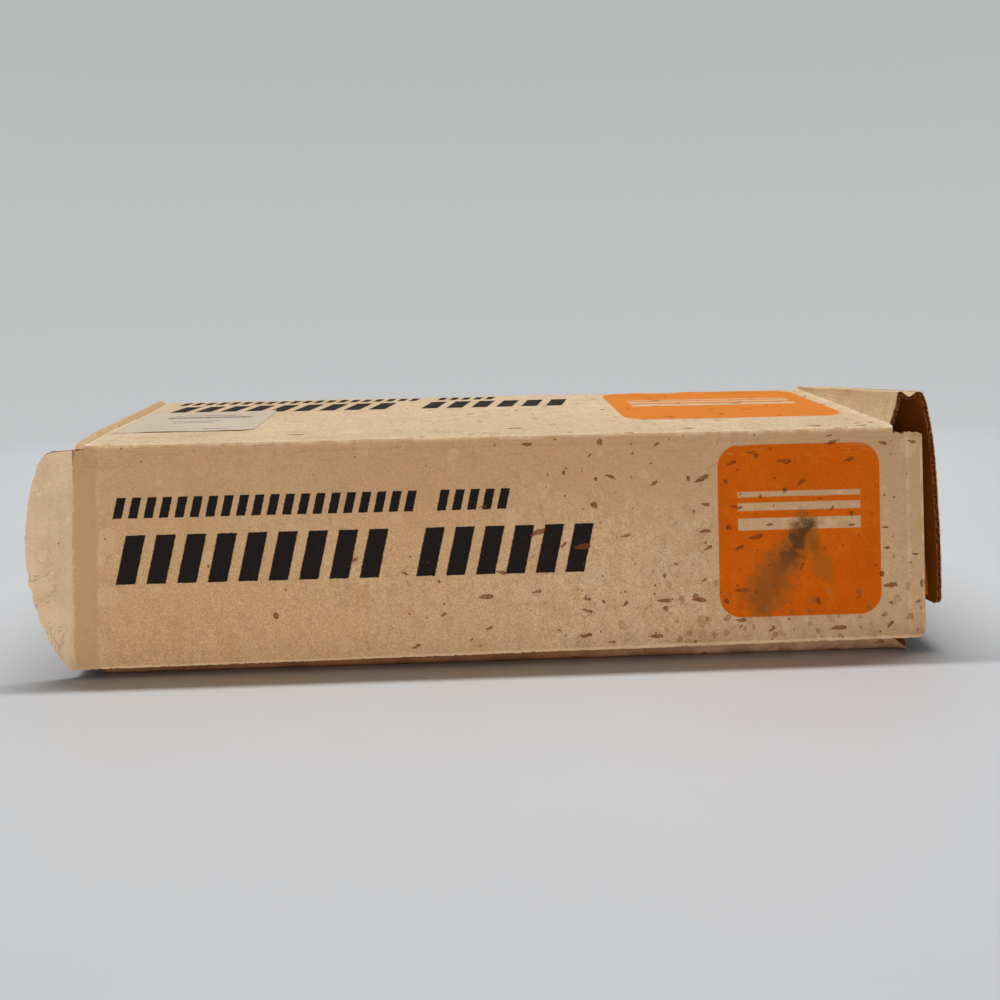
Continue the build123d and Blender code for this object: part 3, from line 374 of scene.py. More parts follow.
def slanted_bars(finish, across, up, groups, low, high, pitch, share, slant):
    """A row of slanted printed bars, in groups that each start at a place and hold a count of bars."""
    rough = finish.times(finish.math("SUBTRACT", finish.noise(900, 3, 0.6), 0.5), 0.0006)
    across, up = finish.add(across, rough), finish.math("SUBTRACT", up, rough)
    leaning = finish.math("SUBTRACT", across, finish.times(finish.math("SUBTRACT", up, low), slant))
    row = finish.span(finish.away(up, (low + high) / 2), (high - low) / 2 + 0.0001, (high - low) / 2 - 0.0001)
    inside = None
    for start, count in groups:
        number = finish.math("DIVIDE", finish.math("SUBTRACT", leaning, start), pitch)
        bar = finish.span(finish.away(finish.math("FRACT", number), 0.5), share / 2 + 0.02, share / 2 - 0.02)
        group = finish.times(bar, finish.span(finish.away(number, count / 2), count / 2 + 0.01, count / 2 - 0.01))
        inside = group if inside is None else finish.math("MAXIMUM", inside, group)
    return finish.times(row, inside)


def print_wear(finish, low):
    """A mask that thins the print in small flecks."""
    return finish.span(finish.noise(1100, 3, 0.7), 0.22, 0.36, low, 1.0)


def paper(finish, stretch, tone, pale, wave, grit=1.0):
    """Mottled, fibrous paper over faint flutes. Returns its colour and its height.

    grit is how strongly its fibres and fine clouds show.
    """
    darker, deeper = shade(tone, 0.86), tuple(c * f for c, f in zip(tone, (0.84, 0.78, 0.68)))
    colour = finish.mix(finish.span(finish.noise(10, 3, 0.6), 0.38, 0.64), tone, pale)
    patches = finish.noise(36, 5, 0.68, distortion=0.5)
    colour = finish.mix(finish.span(patches, 0.50, 0.68, 0.0, 0.62), colour, deeper)
    colour = finish.mix(finish.span(patches, 0.44, 0.30, 0.0, 0.45), colour, pale)
    clouds = finish.noise(150, 4, 0.7)
    colour = finish.mix(finish.span(clouds, 0.46, 0.70, 0.0, 0.50 * grit), colour, darker)
    tint = finish.noise(190, 4, 0.65, distortion=0.6)
    yellow = tuple(c * f for c, f in zip(tone, (0.98, 0.94, 0.74)))
    pink = tuple(c * f for c, f in zip(tone, (1.1, 1.0, 1.06)))
    colour = finish.mix(finish.span(tint, 0.52, 0.66, 0.0, 0.42), colour, yellow)
    colour = finish.mix(finish.span(tint, 0.46, 0.34, 0.0, 0.42), colour, pink)
    streaks = finish.noise(260, 3, 0.65, finish.spread(stretch))
    colour = finish.mix(finish.span(streaks, 0.46, 0.72, 0.0, 0.26), colour, darker)
    colour = finish.mix(finish.span(wave, 0.35, 1.0, 0.0, 0.13), colour, darker)
    fibre = finish.noise(1400, 4, 0.7)
    colour = finish.mix(finish.span(fibre, 0.44, 0.64, 0.0, 0.34 * grit), colour, shade(tone, 0.58))
    colour = finish.mix(finish.span(fibre, 0.46, 0.28, 0.0, 0.34 * grit), colour, shade(pale, 1.25))
    wrinkle = finish.away(finish.noise(62, 4, 0.62, distortion=0.9), 0.5)
    torn = finish.times(finish.span(wrinkle, 0.010, 0.002), finish.span(finish.noise(21, 3), 0.48, 0.60, 0.0, 0.7))
    colour = finish.mix(torn, colour, shade(tone, 0.50))
    scuff = finish.away(finish.noise(88, 3, 0.6, distortion=0.7), 0.5)
    worn = finish.times(finish.span(scuff, 0.012, 0.002), finish.span(finish.noise(17, 3), 0.46, 0.58, 0.0, 0.5))
    colour = finish.mix(worn, colour, shade(pale, 1.2))
    specks = finish.span(finish.noise(2300, 1), 0.72, 0.78, 0.0, 0.4)
    colour = finish.mix(specks, colour, linear(96, 62, 36))
    height = finish.add(finish.times(fibre, 0.45), finish.add(finish.times(wave, 0.35), finish.times(clouds, 0.3)))
    return colour, height


def flute_wave(finish, along, pitch):
    """The faint wave of the flutes under a liner."""
    turned = finish.times(along, 2 * math.pi / pitch)
    bend = finish.times(finish.noise(30, 2), 3.0)
    return finish.math("MULTIPLY_ADD", finish.math("SINE", finish.add(turned, bend)), 0.5, 0.5)


def drop_layers(finish, colour, across, up, colours, amount, seed):
    """The dried splashes: long drops, short ones and dots. amount rises from 0 to 1 with a place."""
    fill, rim = (tuple(colours.stain), 0.90), (tuple(colours.rim), 0.80)
    for number, (pitch, half, low, high, lean) in enumerate((
        (0.0180, (0.0042, 0.00110), 0.02, 0.62, (-0.35, 0.45)),
        (0.0120, (0.0024, 0.00080), 0.03, 0.44, (-0.3, 0.9)),
        (0.0130, (0.0016, 0.00120), 0.03, 0.34, (1.2, 2.4)),
        (0.0070, (0.0006, 0.00048), 0.05, 0.32, (0.0, 3.0)),
    )):
        def share(x, y, low=low, high=high):
            return finish.math("MULTIPLY_ADD", amount(x, y), high - low, low)

        colour = spots(finish, colour, across, up, seed + number * 1.7, pitch, half, share, lean, fill, rim,
                       0.0010 - 0.0002 * number)
    return colour


def water_rings(finish, colour, across, up, seed, pale, half=0.0062):
    """Pale stains of dried water with thin brown outlines."""
    for number, (size, share) in enumerate(((1.0, 0.42), (0.6, 0.34))):
        colour = spots(finish, colour, across, up, seed + number * 2.9, half * size * 5.2,
                       (half * size, half * size * 0.8), lambda a, b, share=share: share, (0.0, 3.0),
                       (pale, 0.34), (linear(132, 88, 52), 0.80), 0.36 * half * size, 0.90)
    return colour


def printed_panel(finish, across, up, low, high, radius, soft, bare, hole, worn):
    """A mask of a large print with rounded corners and bare stripes. bare holds each stripe's middle and half
    height, and hole the low corner, high corner and radius of the part that the stripes stay in."""
    panel = finish.span(rounded(finish, across, up, low, high, radius), soft, -soft)
    stripes = None
    for middle, half in bare:
        stripe = finish.span(finish.away(up, middle), half + PRINT_EDGE, half - PRINT_EDGE)
        stripes = stripe if stripes is None else finish.math("MAXIMUM", stripes, stripe)
    within = finish.span(rounded(finish, across, up, *hole), PRINT_EDGE, -PRINT_EDGE)
    printed = finish.math("SUBTRACT", 1.0, finish.times(stripes, within))
    return finish.times(finish.times(panel, printed), print_wear(finish, worn))


def rubbed_highlit_creases(finish, colour, rubbed, tone, lines):
    """Pale creases, of rubbed wear and painted highlight. Each line is a coordinate, its centre, its reach and its
    strength.
    """
    for value, centre, reach, strength in lines:
        line = finish.span(finish.away(value, centre), reach, reach * 0.1, 0.0, strength)
        colour = finish.mix(finish.times(line, rubbed), colour, tone)
    return colour


def front_finish(sizes, colours):
    """The printed front, with its orange panel, plain bars, stains and scuffs, and some painted shade and
    highlight.
    """
    finish = Finish("printed_front_board", 0.84, specular=0.12)
    x, z = finish.x, finish.z
    tone = tuple(colours.front)
    colour, height = paper(
        finish, (1.0, 1.0, 0.10), tone, tuple(colours.front_pale), flute_wave(finish, x, sizes.flute), 1.7
    )
    # Painted shade: the front is darker towards its right end.
    colour = finish.mix(finish.span(x, 0.02, 0.16, 0.0, 0.45), colour, linear(178, 143, 105))
    # Painted shade: the front is darker towards its top.
    colour = finish.mix(finish.span(z, 0.045, 0.075, 0.0, 0.5), colour, shade(tone, 0.80))
    colour = water_rings(finish, colour, x, z, 12.4, linear(208, 176, 138))

    print_low, print_high = (0.0857, 0.0158), (0.1519, 0.0850)
    ink = printed_panel(
        finish, x, z, print_low, print_high, 0.009, 0.00012,
        ((0.0650, 0.0011), (0.0600, 0.0016), (0.0530, 0.0024)),
        ((0.0937, 0.0230), (0.1439, 0.0790), 0.004), 0.86,
    )
    rim = finish.span(rounded(finish, x, z, print_low, print_high, 0.009), -0.0009, -0.0002, 0.0, 0.35)
    orange = tuple(colours.orange)
    print_tone = finish.mix(
        finish.span(finish.noise(45, 4, 0.65), 0.40, 0.70, 0.0, 0.6), orange, shade(orange, 0.82)
    )
    print_tone = finish.mix(finish.span(finish.noise(1400, 3, 0.7), 0.42, 0.64, 0.0, 0.45), print_tone,
                            shade(orange, 0.62))
    print_tone = finish.mix(finish.span(finish.noise(180, 4, 0.7), 0.50, 0.66, 0.0, 0.4), print_tone,
                            linear(206, 108, 4))
    print_tone = finish.mix(rim, print_tone, linear(186, 92, 18))
    colour = finish.mix(ink, colour, print_tone)

    upper = slanted_bars(
        finish, x, z, ((-0.1555, 20), (-0.0285, 5)), 0.0618, 0.0700, *SMALL_BARS
    )
    lower = slanted_bars(
        finish, x, z, ((-0.1555, 9), (-0.0380, 6)), 0.0360, 0.0552, *LARGE_BARS
    )
    black = finish.times(finish.math("MAXIMUM", upper, lower), print_wear(finish, 0.72))
    colour = finish.mix(black, colour, tuple(colours.ink))

    def amount(place_x, place_z):
        return finish.span(place_x, -0.07, 0.06)

    colour = drop_layers(finish, colour, x, z, colours, amount, 3.1)

    def low_right(place_x, place_z):
        return finish.times(finish.span(place_x, 0.03, 0.08), finish.span(place_z, 0.034, 0.012, 0.0, 0.75))

    colour = spots(finish, colour, x, z, 21.3, 0.0095, (0.0026, 0.0019), low_right, (0.0, 3.0),
                   (linear(150, 102, 60), 0.45), (linear(120, 74, 38), 0.30), 0.0011)
    colour = spots(finish, colour, x, z, 25.9, 0.0066, (0.0016, 0.0012), low_right, (0.0, 3.0),
                   (linear(128, 78, 40), 0.55), (linear(104, 56, 26), 0.40), 0.0008)
    colour = smear(finish, colour, x, z, (0.1215, 0.0515), (0.1035, 0.0240), 0.0062,
                   (linear(134, 84, 30), linear(78, 52, 26)))
    colour = smear(finish, colour, x, z, (0.1235, 0.0470), (0.1290, 0.0330), 0.0028,
                   (linear(160, 88, 14), linear(140, 78, 22)))
    grime = finish.times(finish.span(z, 0.014, 0.006), finish.span(finish.noise(70, 4, 0.7), 0.40, 0.66))
    colour = finish.mix(finish.times(grime, finish.span(x, 0.0, 0.1, 0.15, 0.5)), colour, linear(140, 98, 60))

    # A pale line along the ragged lower edge: frayed board and painted highlight.
    foot = finish.span(x, FRONT_LOW.x, FRONT_HIGH.x, FRONT_LOW.z + 0.0002, FRONT_LOW.z + 0.0026)
    frayed_highlit_edge = finish.math("MULTIPLY_ADD", finish.noise(400, 3, 0.6), 0.0014, foot)
    colour = finish.mix(finish.span(finish.math("SUBTRACT", z, frayed_highlit_edge), 0.0006, 0.0001, 0.0, 0.55), colour,
                        linear(226, 192, 152))

    # Painted shade: a darker band beside the left double crease, where the board turns away from the light.
    band = finish.span(x, -0.1588, -0.1606, 0.0, 0.65)
    colour = finish.mix(band, colour, shade(tone, 0.80))
    # Pale lines along the creases and edges: rubbed wear and painted highlight.
    rubbed = finish.span(finish.noise(120, 5, 0.75), 0.42, 0.62)
    colour = rubbed_highlit_creases(finish, colour, rubbed, linear(226, 200, 168), (
        (x, -0.1600, 0.0014, 0.26), (x, 0.1635, 0.0012, 0.30), (x, 0.1693, 0.0009, 0.5), (x, -0.1696, 0.0010, 0.4),
        (z, TOP_HIGH.z - 0.0010, 0.0018, 0.38),
    ))
    cracks = finish.noise(500, 3, 0.6, finish.spread((0.16, 1.0, 2.2)))
    near_crease = finish.span(z, 0.078, 0.086)
    colour = finish.mix(finish.times(finish.span(cracks, 0.58, 0.66), near_crease), colour,
                        shade(tone, 0.72))
    # Painted shade: a thin dark line in the groove below the top crease.
    fold = finish.span(finish.away(z, 0.0868), 0.0007, 0.0001, 0.0, 0.35)
    colour = finish.mix(finish.times(fold, finish.span(finish.noise(90, 3), 0.40, 0.60)), colour,
                        shade(tone, 0.60))
    # Painted shade: dark patches in the crumpled top left corner.
    corner = finish.times(finish.span(x, -0.155, -0.166), finish.span(z, 0.070, 0.086))
    crumple_shade = finish.span(finish.noise(230, 4, 0.7, distortion=1.2), 0.50, 0.60)
    colour = finish.mix(finish.times(finish.times(corner, crumple_shade), 0.55), colour, shade(tone, 0.62))
    finish.colour(colour)
    finish.bump(height, *PAPER_BUMP)
    return finish.material


def top_finish(sizes, colours):
    """The printed top and the long creases beside it; its paler colours carry painted sheen."""
    finish = Finish("printed_top_board", 0.84, specular=0.12)
    x, y = finish.x, finish.y
    tone = tuple(colours.top)
    colour, height = paper(
        finish, (1.0, 0.10, 1.0), tone, tuple(colours.top_pale), flute_wave(finish, x, sizes.flute), 1.6
    )
    colour = water_rings(finish, colour, x, y, 33.8, linear(226, 204, 172), 0.0100)
    print_low, print_high = (0.0545, -0.0290), (0.1515, 0.0575)
    ink = printed_panel(
        finish, x, y, print_low, print_high, 0.012, 0.0002,
        ((0.0290, 0.0014), (0.0225, 0.0020), (0.0135, 0.0030)),
        ((0.0640, -0.0190), (0.1420, 0.0480), 0.005), 0.80,
    )
    orange = tuple(colours.orange_top)
    print_tone = finish.mix(
        finish.span(finish.noise(45, 4, 0.65), 0.40, 0.70, 0.0, 0.5), orange, shade(orange, 0.86)
    )
    colour = finish.mix(ink, colour, print_tone)
    upper = slanted_bars(
        finish, x, y, ((-0.1580, 20), (-0.0300, 5)), 0.0470, 0.0560, *SMALL_BARS
    )
    lower = slanted_bars(
        finish, x, y, ((-0.1580, 9), (-0.0380, 6)), 0.0200, 0.0415, *LARGE_BARS
    )
    black = finish.times(finish.math("MAXIMUM", upper, lower), print_wear(finish, 0.62))
    colour = finish.mix(black, colour, tuple(colours.ink))

    def amount(place_x, place_y):
        return finish.span(place_x, -0.10, 0.14, 0.05, 0.55)

    colour = drop_layers(finish, colour, x, y, colours, amount, 41.7)
    # Pale lines along the top's creases and ends: rubbed wear and painted highlight.
    rubbed = finish.span(finish.noise(130, 5, 0.75), 0.38, 0.62)
    colour = rubbed_highlit_creases(finish, colour, rubbed, linear(232, 210, 182), (
        (y, TOP_LOW.y + 0.0004, 0.0022, 0.38), (y, TOP_HIGH.y - 0.0004, 0.0022, 0.55),
        (x, TOP_LOW.x, 0.0022, 0.5), (x, TOP_HIGH.x - 0.0003, 0.0022, 0.6),
    ))
    cracks = finish.noise(420, 3, 0.6, finish.spread((0.20, 1.6, 1.0)))
    colour = finish.mix(finish.times(finish.span(cracks, 0.60, 0.67), finish.span(y, -0.040, -0.056, 0.1, 0.8)),
                        colour, shade(tone, 0.74))
    finish.colour(colour)
    finish.bump(height, *PAPER_BUMP)
    return finish.material


def torn_rim(finish, colour):
    """Dark, crumbly board along the front cut edge of the right end's pieces."""
    crumbs = finish.noise(900, 3, 0.7)
    depth = finish.math("MULTIPLY_ADD", finish.math("SUBTRACT", crumbs, 0.5), 0.0016, finish.y)
    cut = finish.span(depth, RISER_LOW.y + 0.0011, RISER_LOW.y + 0.0004)
    mottle = finish.span(finish.noise(1300, 2, 0.6), 0.38, 0.62)
    crumbly = finish.mix(mottle, linear(50, 27, 14), linear(140, 84, 48))
    return finish.mix(cut, colour, crumbly)


def plain_board_finish(name, sizes, tone, grime_from=None, along="x", stained=0.25, torn=False, pale_right=False):
    """Unprinted outer board, with drops, rubbed marks and grime near the base."""
    finish = Finish(name, 0.86, specular=0.12)
    stretch, wave_along, across, up = {
        "x": ((1.0, 1.0, 0.10), finish.x, finish.x, finish.z),
        "y": ((1.0, 0.10, 1.0), finish.z, finish.y, finish.z),
        "flat": ((0.10, 1.0, 1.0), finish.x, finish.x, finish.y),
    }[along]
    colour, height = paper(finish, stretch, tone, shade(tone, 1.14),
                           flute_wave(finish, wave_along, sizes.flute), 0.8)
    colour = water_rings(finish, colour, across, up, 90 + 5 * len(name), shade(tone, 1.2))
    if pale_right:
        colour = finish.mix(finish.span(finish.x, 0.0, 0.10, 0.0, 0.75), colour, linear(178, 136, 104))
    colour = drop_layers(finish, colour, across, up, bpy.context.scene.carton_colours,
                         lambda a, b: stained, 60 + 7 * len(name))
    rubbed = finish.span(finish.noise(26, 4, 0.65), 0.55, 0.72, 0.0, 0.25)
    colour = finish.mix(rubbed, colour, shade(tone, 1.3))
    if grime_from:
        dirt = finish.times(
            finish.span(finish.z, grime_from, 0.0), finish.span(finish.noise(60, 5, 0.7), 0.36, 0.62)
        )
        colour = finish.mix(finish.times(dirt, 0.7), colour, linear(86, 54, 34))
    finish.colour(torn_rim(finish, colour) if torn else colour)
    finish.bump(height, *PAPER_BUMP)
    return finish.material


def inner_board_finish(name, sizes, colours, torn=False):
    """The unprinted inner liner; with torn, a crumbly front edge and painted shade in the right end's hole too."""
    finish = Finish(name, 0.9, specular=0.1)
    fibre = finish.noise(1300, 3, 0.65)
    broad = finish.noise(24, 4, 0.6)
    colour = finish.mix(
        finish.span(broad, 0.35, 0.68), tuple(colours.inside), shade(colours.inside, 0.72)
    )
    colour = finish.mix(finish.span(fibre, 0.3, 0.75, 0.0, 0.35), colour, shade(colours.inside, 0.55))
    wave = flute_wave(finish, finish.x, sizes.flute)
    colour = finish.mix(finish.span(wave, 0.7, 1.0, 0.0, 0.12), colour, shade(colours.inside, 1.3))
    # Painted shade: the right end's liner darkens almost to black inside the hole by the fold.
    fold = finish.times(finish.span(finish.z, TOP_HIGH.z - 0.012, TOP_HIGH.z - 0.002),
                        finish.span(finish.y, RISER_LOW.y + 0.001, RISER_LOW.y + 0.014))
    painted_fold_shade = finish.mix(finish.times(fold, 0.95), colour, linear(20, 11, 6))
    finish.colour(torn_rim(finish, painted_fold_shade) if torn else colour)
    finish.bump(finish.add(finish.times(fibre, 0.5), finish.times(wave, 0.5)), 0.00012, 0.5)
    return finish.material


def cut_edge_finish(colours):
    """A cut edge of the board: crushed liners and dark flutes between them."""
    finish = Finish("cut_edge", 0.92, specular=0.1)
    rows = finish.noise(900, 2, 0.6, finish.spread((1.0, 1.0, 0.25)))
    clumps = finish.noise(240, 3, 0.7)
    colour = finish.mix(
        finish.span(rows, 0.36, 0.62), shade(colours.edge, 0.42), tuple(colours.edge)
    )
    colour = finish.mix(finish.span(clumps, 0.52, 0.68, 0.0, 0.5), colour, shade(colours.edge, 0.30))
    finish.colour(colour)
    finish.bump(rows, 0.0003, 0.8)
    return finish.material


def label_finish(colours):
    """The paper label, a little yellowed, with faint generic rules instead of words."""
    finish = Finish("label_paper", 0.66, specular=0.25)
    x, y = finish.x, finish.y
    tone = tuple(colours.label)
    colour = finish.mix(finish.span(finish.noise(32, 4, 0.6), 0.35, 0.7), tone, shade(tone, 0.86))
    edge = rounded(finish, x, y, LABEL_LOW.xy, LABEL_HIGH.xy, 0.001)
    colour = finish.mix(finish.span(edge, -0.004, 0.0, 0.0, 0.4), colour, linear(196, 168, 128))
    rules = None
    for middle, half, start, end in ((0.0100, 0.0009, -0.148, -0.118), (0.0040, 0.0020, -0.150, -0.112),
                                     (-0.0060, 0.0008, -0.146, -0.124), (-0.0105, 0.0008, -0.144, -0.126),
                                     (-0.0280, 0.0007, -0.127, -0.116)):
        rule = finish.times(
            finish.span(finish.away(y, middle), half + 0.0002, half - 0.0002),
            finish.span(finish.away(x, (start + end) / 2), (end - start) / 2, (end - start) / 2 - 0.0004),
        )
        rules = rule if rules is None else finish.math("MAXIMUM", rules, rule)
    faded = finish.times(rules, finish.span(finish.noise(500, 3, 0.7), 0.32, 0.6, 0.35, 0.8))
    colour = finish.mix(faded, colour, linear(70, 64, 62))
    finish.colour(colour)
    finish.bump(finish.noise(900, 3), 0.00005, 0.4)
    return finish.material


def moulded_finish(name, tone, roughness=0.42, grain=2400, sheen_spread=0.14):
    """Moulded plastic with a fine grain and slightly uneven gloss."""
    finish = Finish(name, roughness)
    broad = finish.noise(28, 3, 0.55)
    colour = finish.mix(finish.span(broad, 0.35, 0.7), tone, shade(tone, 0.88))
    dust = finish.span(finish.noise(420, 4, 0.7), 0.60, 0.74, 0.0, 0.14)
    colour = finish.mix(dust, colour, tuple(min(1.0, c * 1.5 + 0.03) for c in tone))
    finish.colour(colour)
    finish.roughness(finish.span(finish.noise(60, 4, 0.65), 0.3, 0.7, roughness - sheen_spread / 2,
                                 roughness + sheen_spread))
    finish.bump(finish.noise(grain, 2, 0.5), 0.00004, 0.35)
    return finish.material


def brushed_finish(name, tone, roughness=0.28, stretch=(0.02, 1.0, 1.0), metallic=1.0):
    """Metal with fine lines along one axis and a few darker marks."""
    finish = Finish(name, roughness, metallic)
    lines = finish.noise(1600, 3, 0.6, finish.spread(stretch))
    colour = finish.mix(finish.span(lines, 0.3, 0.7), tone, shade(tone, 0.80))
    marks = finish.span(finish.noise(70, 4, 0.7), 0.60, 0.76, 0.0, 0.35)
    colour = finish.mix(marks, colour, shade(tone, 0.55))
    finish.colour(colour)
    finish.roughness(finish.span(lines, 0.25, 0.75, roughness * 0.75, roughness * 1.35))
    finish.bump(lines, 0.00002, 0.4)
    return finish.material


def laminated_finish(name, tone, pitch):
    """Stacked iron sheets, seen as fine lines across X."""
    finish = Finish(name, 0.46, 0.8)
    phase = finish.math("FRACT", finish.math("DIVIDE", finish.add(finish.x, 1.0), pitch))
    line = finish.span(finish.away(phase, 0.5), 0.36, 0.46)
    colour = finish.mix(finish.times(line, 0.7), tone, shade(tone, 0.25))
    rust = finish.span(finish.noise(110, 4, 0.7), 0.56, 0.72, 0.0, 0.4)
    finish.colour(finish.mix(rust, colour, linear(104, 70, 44)))
    finish.bump(line, 0.0001, 0.6)
    return finish.material


def wound_finish(name, tone, pitch, axis):
    """Enamelled wire, seen as round strands."""
    finish = Finish(name, 0.34, 0.75)
    along = {"x": finish.x, "y": finish.y, "z": finish.z}[axis]
    wander = finish.times(finish.noise(300, 2), pitch * 1.5)
    phase = finish.math("FRACT", finish.math("DIVIDE", finish.add(finish.add(along, 1.0), wander), pitch))
    strand = finish.span(finish.away(phase, 0.5), 0.5, 0.1)
    colour = finish.mix(strand, shade(tone, 0.28), tone)
    finish.colour(colour)
    finish.bump(strand, 0.0003, 0.9)
    return finish.material


def kraft_finish(sizes, tone):
    """The tray's unbleached board, whose upper rims show the flutes."""
    finish = Finish("tray_kraft", 0.88, specular=0.12)
    broad = finish.noise(14, 4, 0.6)
    colour = finish.mix(finish.span(broad, 0.35, 0.7), tone, shade(tone, 0.84))
    streaks = finish.noise(80, 3, 0.6, finish.spread((1.0, 1.0, 0.12)))
    colour = finish.mix(finish.span(streaks, 0.48, 0.75, 0.0, 0.3), colour, shade(tone, 0.7))
    fibre = finish.noise(1400, 3, 0.65)
    colour = finish.mix(finish.span(fibre, 0.3, 0.74, 0.0, 0.3), colour, shade(tone, 0.62))
    normal = finish.node("ShaderNodeSeparateXYZ", (finish.node("ShaderNodeNewGeometry").outputs["Normal"],))
    upward = finish.span(normal.outputs[2], 0.85, 0.95)
    rim = finish.times(upward, finish.span(finish.z, 0.034, 0.036))
    walls = finish.add(finish.times(finish.x, 2 * math.pi / sizes.flute),
                       finish.times(finish.y, 2 * math.pi / sizes.flute))
    gaps = finish.span(finish.math("SINE", walls), 0.15, 0.75)
    colour = finish.mix(finish.times(rim, 0.35), colour, shade(tone, 1.2))
    colour = finish.mix(finish.times(finish.times(rim, gaps), 0.75), colour, shade(tone, 0.22))
    wave = flute_wave(finish, finish.add(finish.x, finish.y), sizes.flute)
    finish.colour(colour)
    finish.bump(finish.add(finish.times(fibre, 0.5), finish.times(wave, 0.6)), 0.00014, 0.6)
    return finish.material


def wander(x, y, z, scale, reach):
    """A smooth random offset that depends on a place, in metres."""
    return noise.noise(Vector((x, y, z)) * scale) * reach


def dip(value, centre, width):
    """A narrow bell, 1 at its centre."""
    return math.exp(-(((value - centre) / width) ** 2))


def arc(centre, radius, start, end, steps):
    """Points of an arc in a section, from one angle to another in degrees."""
    turns = [math.radians(start + (end - start) * number / steps) for number in range(steps + 1)]
    return [(centre[0] + radius * math.cos(turn), centre[1] + radius * math.sin(turn)) for turn in turns]


def run(start, end, steps):
    """Evenly spaced points from start up to, and without, end."""
    return [
        (start[0] + (end[0] - start[0]) * number / steps, start[1] + (end[1] - start[1]) * number / steps)
        for number in range(steps)
    ]


def add_sheet(shape, columns, rows, place, slot=0):
    """Adds a grid whose corners go where place(column share, row share) says.

    slot is the faces' material slot, or gives it from a face's centre.
    """
    known = set(shape.faces)
    made = bmesh.ops.create_grid(shape, x_segments=columns, y_segments=rows, size=1)
    for vert in made["verts"]:
        vert.co = place((vert.co.x + 1) / 2, (vert.co.y + 1) / 2)
    for face in shape.faces:
        if face not in known:
            face.material_index = slot(face.calc_center_median()) if callable(slot) else slot


def make_object(name, shape):
    """An object in the scene from a shape, which is used up."""
    mesh = bpy.data.meshes.new(name)
    shape.to_mesh(mesh)
    shape.free()
    made = bpy.data.objects.new(name, mesh)
    bpy.context.scene.collection.objects.link(made)
    return made


def finish_piece(name, shape, outer, body, nodes, thickness, sharp=SHARP_ANGLE, inside=None, plain_rim=False):
    """Makes a piece of a shape, gives it its wall and hands it to the frame.

    outer holds the materials of the outer faces, and inside those of the inner face and the cut edge.
    With plain_rim the cut edge looks like the face beside it, as on one thin liner.
    """
    if not shape.faces:
        raise RuntimeError(f"{name} has no faces")
    inner, edge = inside or (Board.get("inner"), Board.get("edge"))
    piece = make_object(name, shape)
    mesh = piece.data
    for material in (*outer, *[inner] * len(outer), edge):
        mesh.materials.append(material)
    wall = piece.modifiers.new("Wall", "SOLIDIFY")
    wall.thickness = thickness
    wall.offset = -1
    wall.material_offset = len(outer)
    wall.material_offset_rim = 0 if plain_rim else 2 * len(outer)
    bpy.context.view_layer.update()
    ready = piece.evaluated_get(bpy.context.evaluated_depsgraph_get())
    walled = bpy.data.meshes.new_from_object(ready)
    piece.modifiers.clear()
    piece.data = walled
    bpy.data.meshes.remove(mesh)
    walled.name = name
    walled.shade_smooth()
    walled.set_sharp_from_angle(angle=math.radians(sharp))
    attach(piece, body)
    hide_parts(*nodes)
    return piece


def dress(node, material, width):
    """Gives a CAD node its material, welds its loose triangles and rounds its edges a little."""
    piece = frame["nodes"][node]
    if not piece.material_slots:
        piece.data.materials.append(material)
    for slot in piece.material_slots:
        slot.link = "OBJECT"
        slot.material = material
    weld = piece.modifiers.new("Weld", "WELD")
    weld.merge_threshold = WELD_REACH
    bevel = piece.modifiers.new("Rounded edges", "BEVEL")
    bevel.width = width
    bevel.segments = 2
    bevel.limit_method = "ANGLE"
    bevel.angle_limit = math.radians(SHARP_ANGLE)
    bevel.harden_normals = False


class Board:
    """The materials of the carton's board, made once and shared by its pieces."""

    made = {}

    @classmethod
    def get(cls, name):
        """One of the board's materials."""
        if not cls.made:
            scene = bpy.context.scene
            sizes, colours = scene.carton_sizes, scene.carton_colours
            cls.made = {
                "front": front_finish(sizes, colours),
                "top": top_finish(sizes, colours),
                "back": plain_board_finish("plain_back_board", sizes, tuple(colours.front), 0.02),
                "base": plain_board_finish("plain_base_board", sizes, linear(176, 138, 100), None, "flat", 0.4),
                # The base's crease strip and the glue tab: their dark tone is painted shade under the front's
                # overhang, and their drops and grime are stains.
                "strip": plain_board_finish("stained_base_crease", sizes, linear(130, 84, 52), 0.008, "x", 0.9,
                                               pale_right=True),
                "end": plain_board_finish("plain_end_board", sizes, tuple(colours.front), 0.015, "y"),
                "riser": plain_board_finish("riser_board", sizes, linear(207, 180, 143), None, "y", 0.1, True),
                "closure": plain_board_finish("closure_board", sizes, linear(206, 168, 130), 0.015, "y", 0.1),
                "crescent": plain_board_finish("flap_board", sizes, tuple(colours.crescent), 0.012, "x", 0.02),
                "shoulder": plain_board_finish("shoulder_board", sizes, linear(196, 163, 122), None, "y", 0.1),
                "inner": inner_board_finish("inner_liner", sizes, colours),
                "right_inner": inner_board_finish("right_end_liner", sizes, colours, True),
                "edge": cut_edge_finish(colours),
            }
        return cls.made[name]


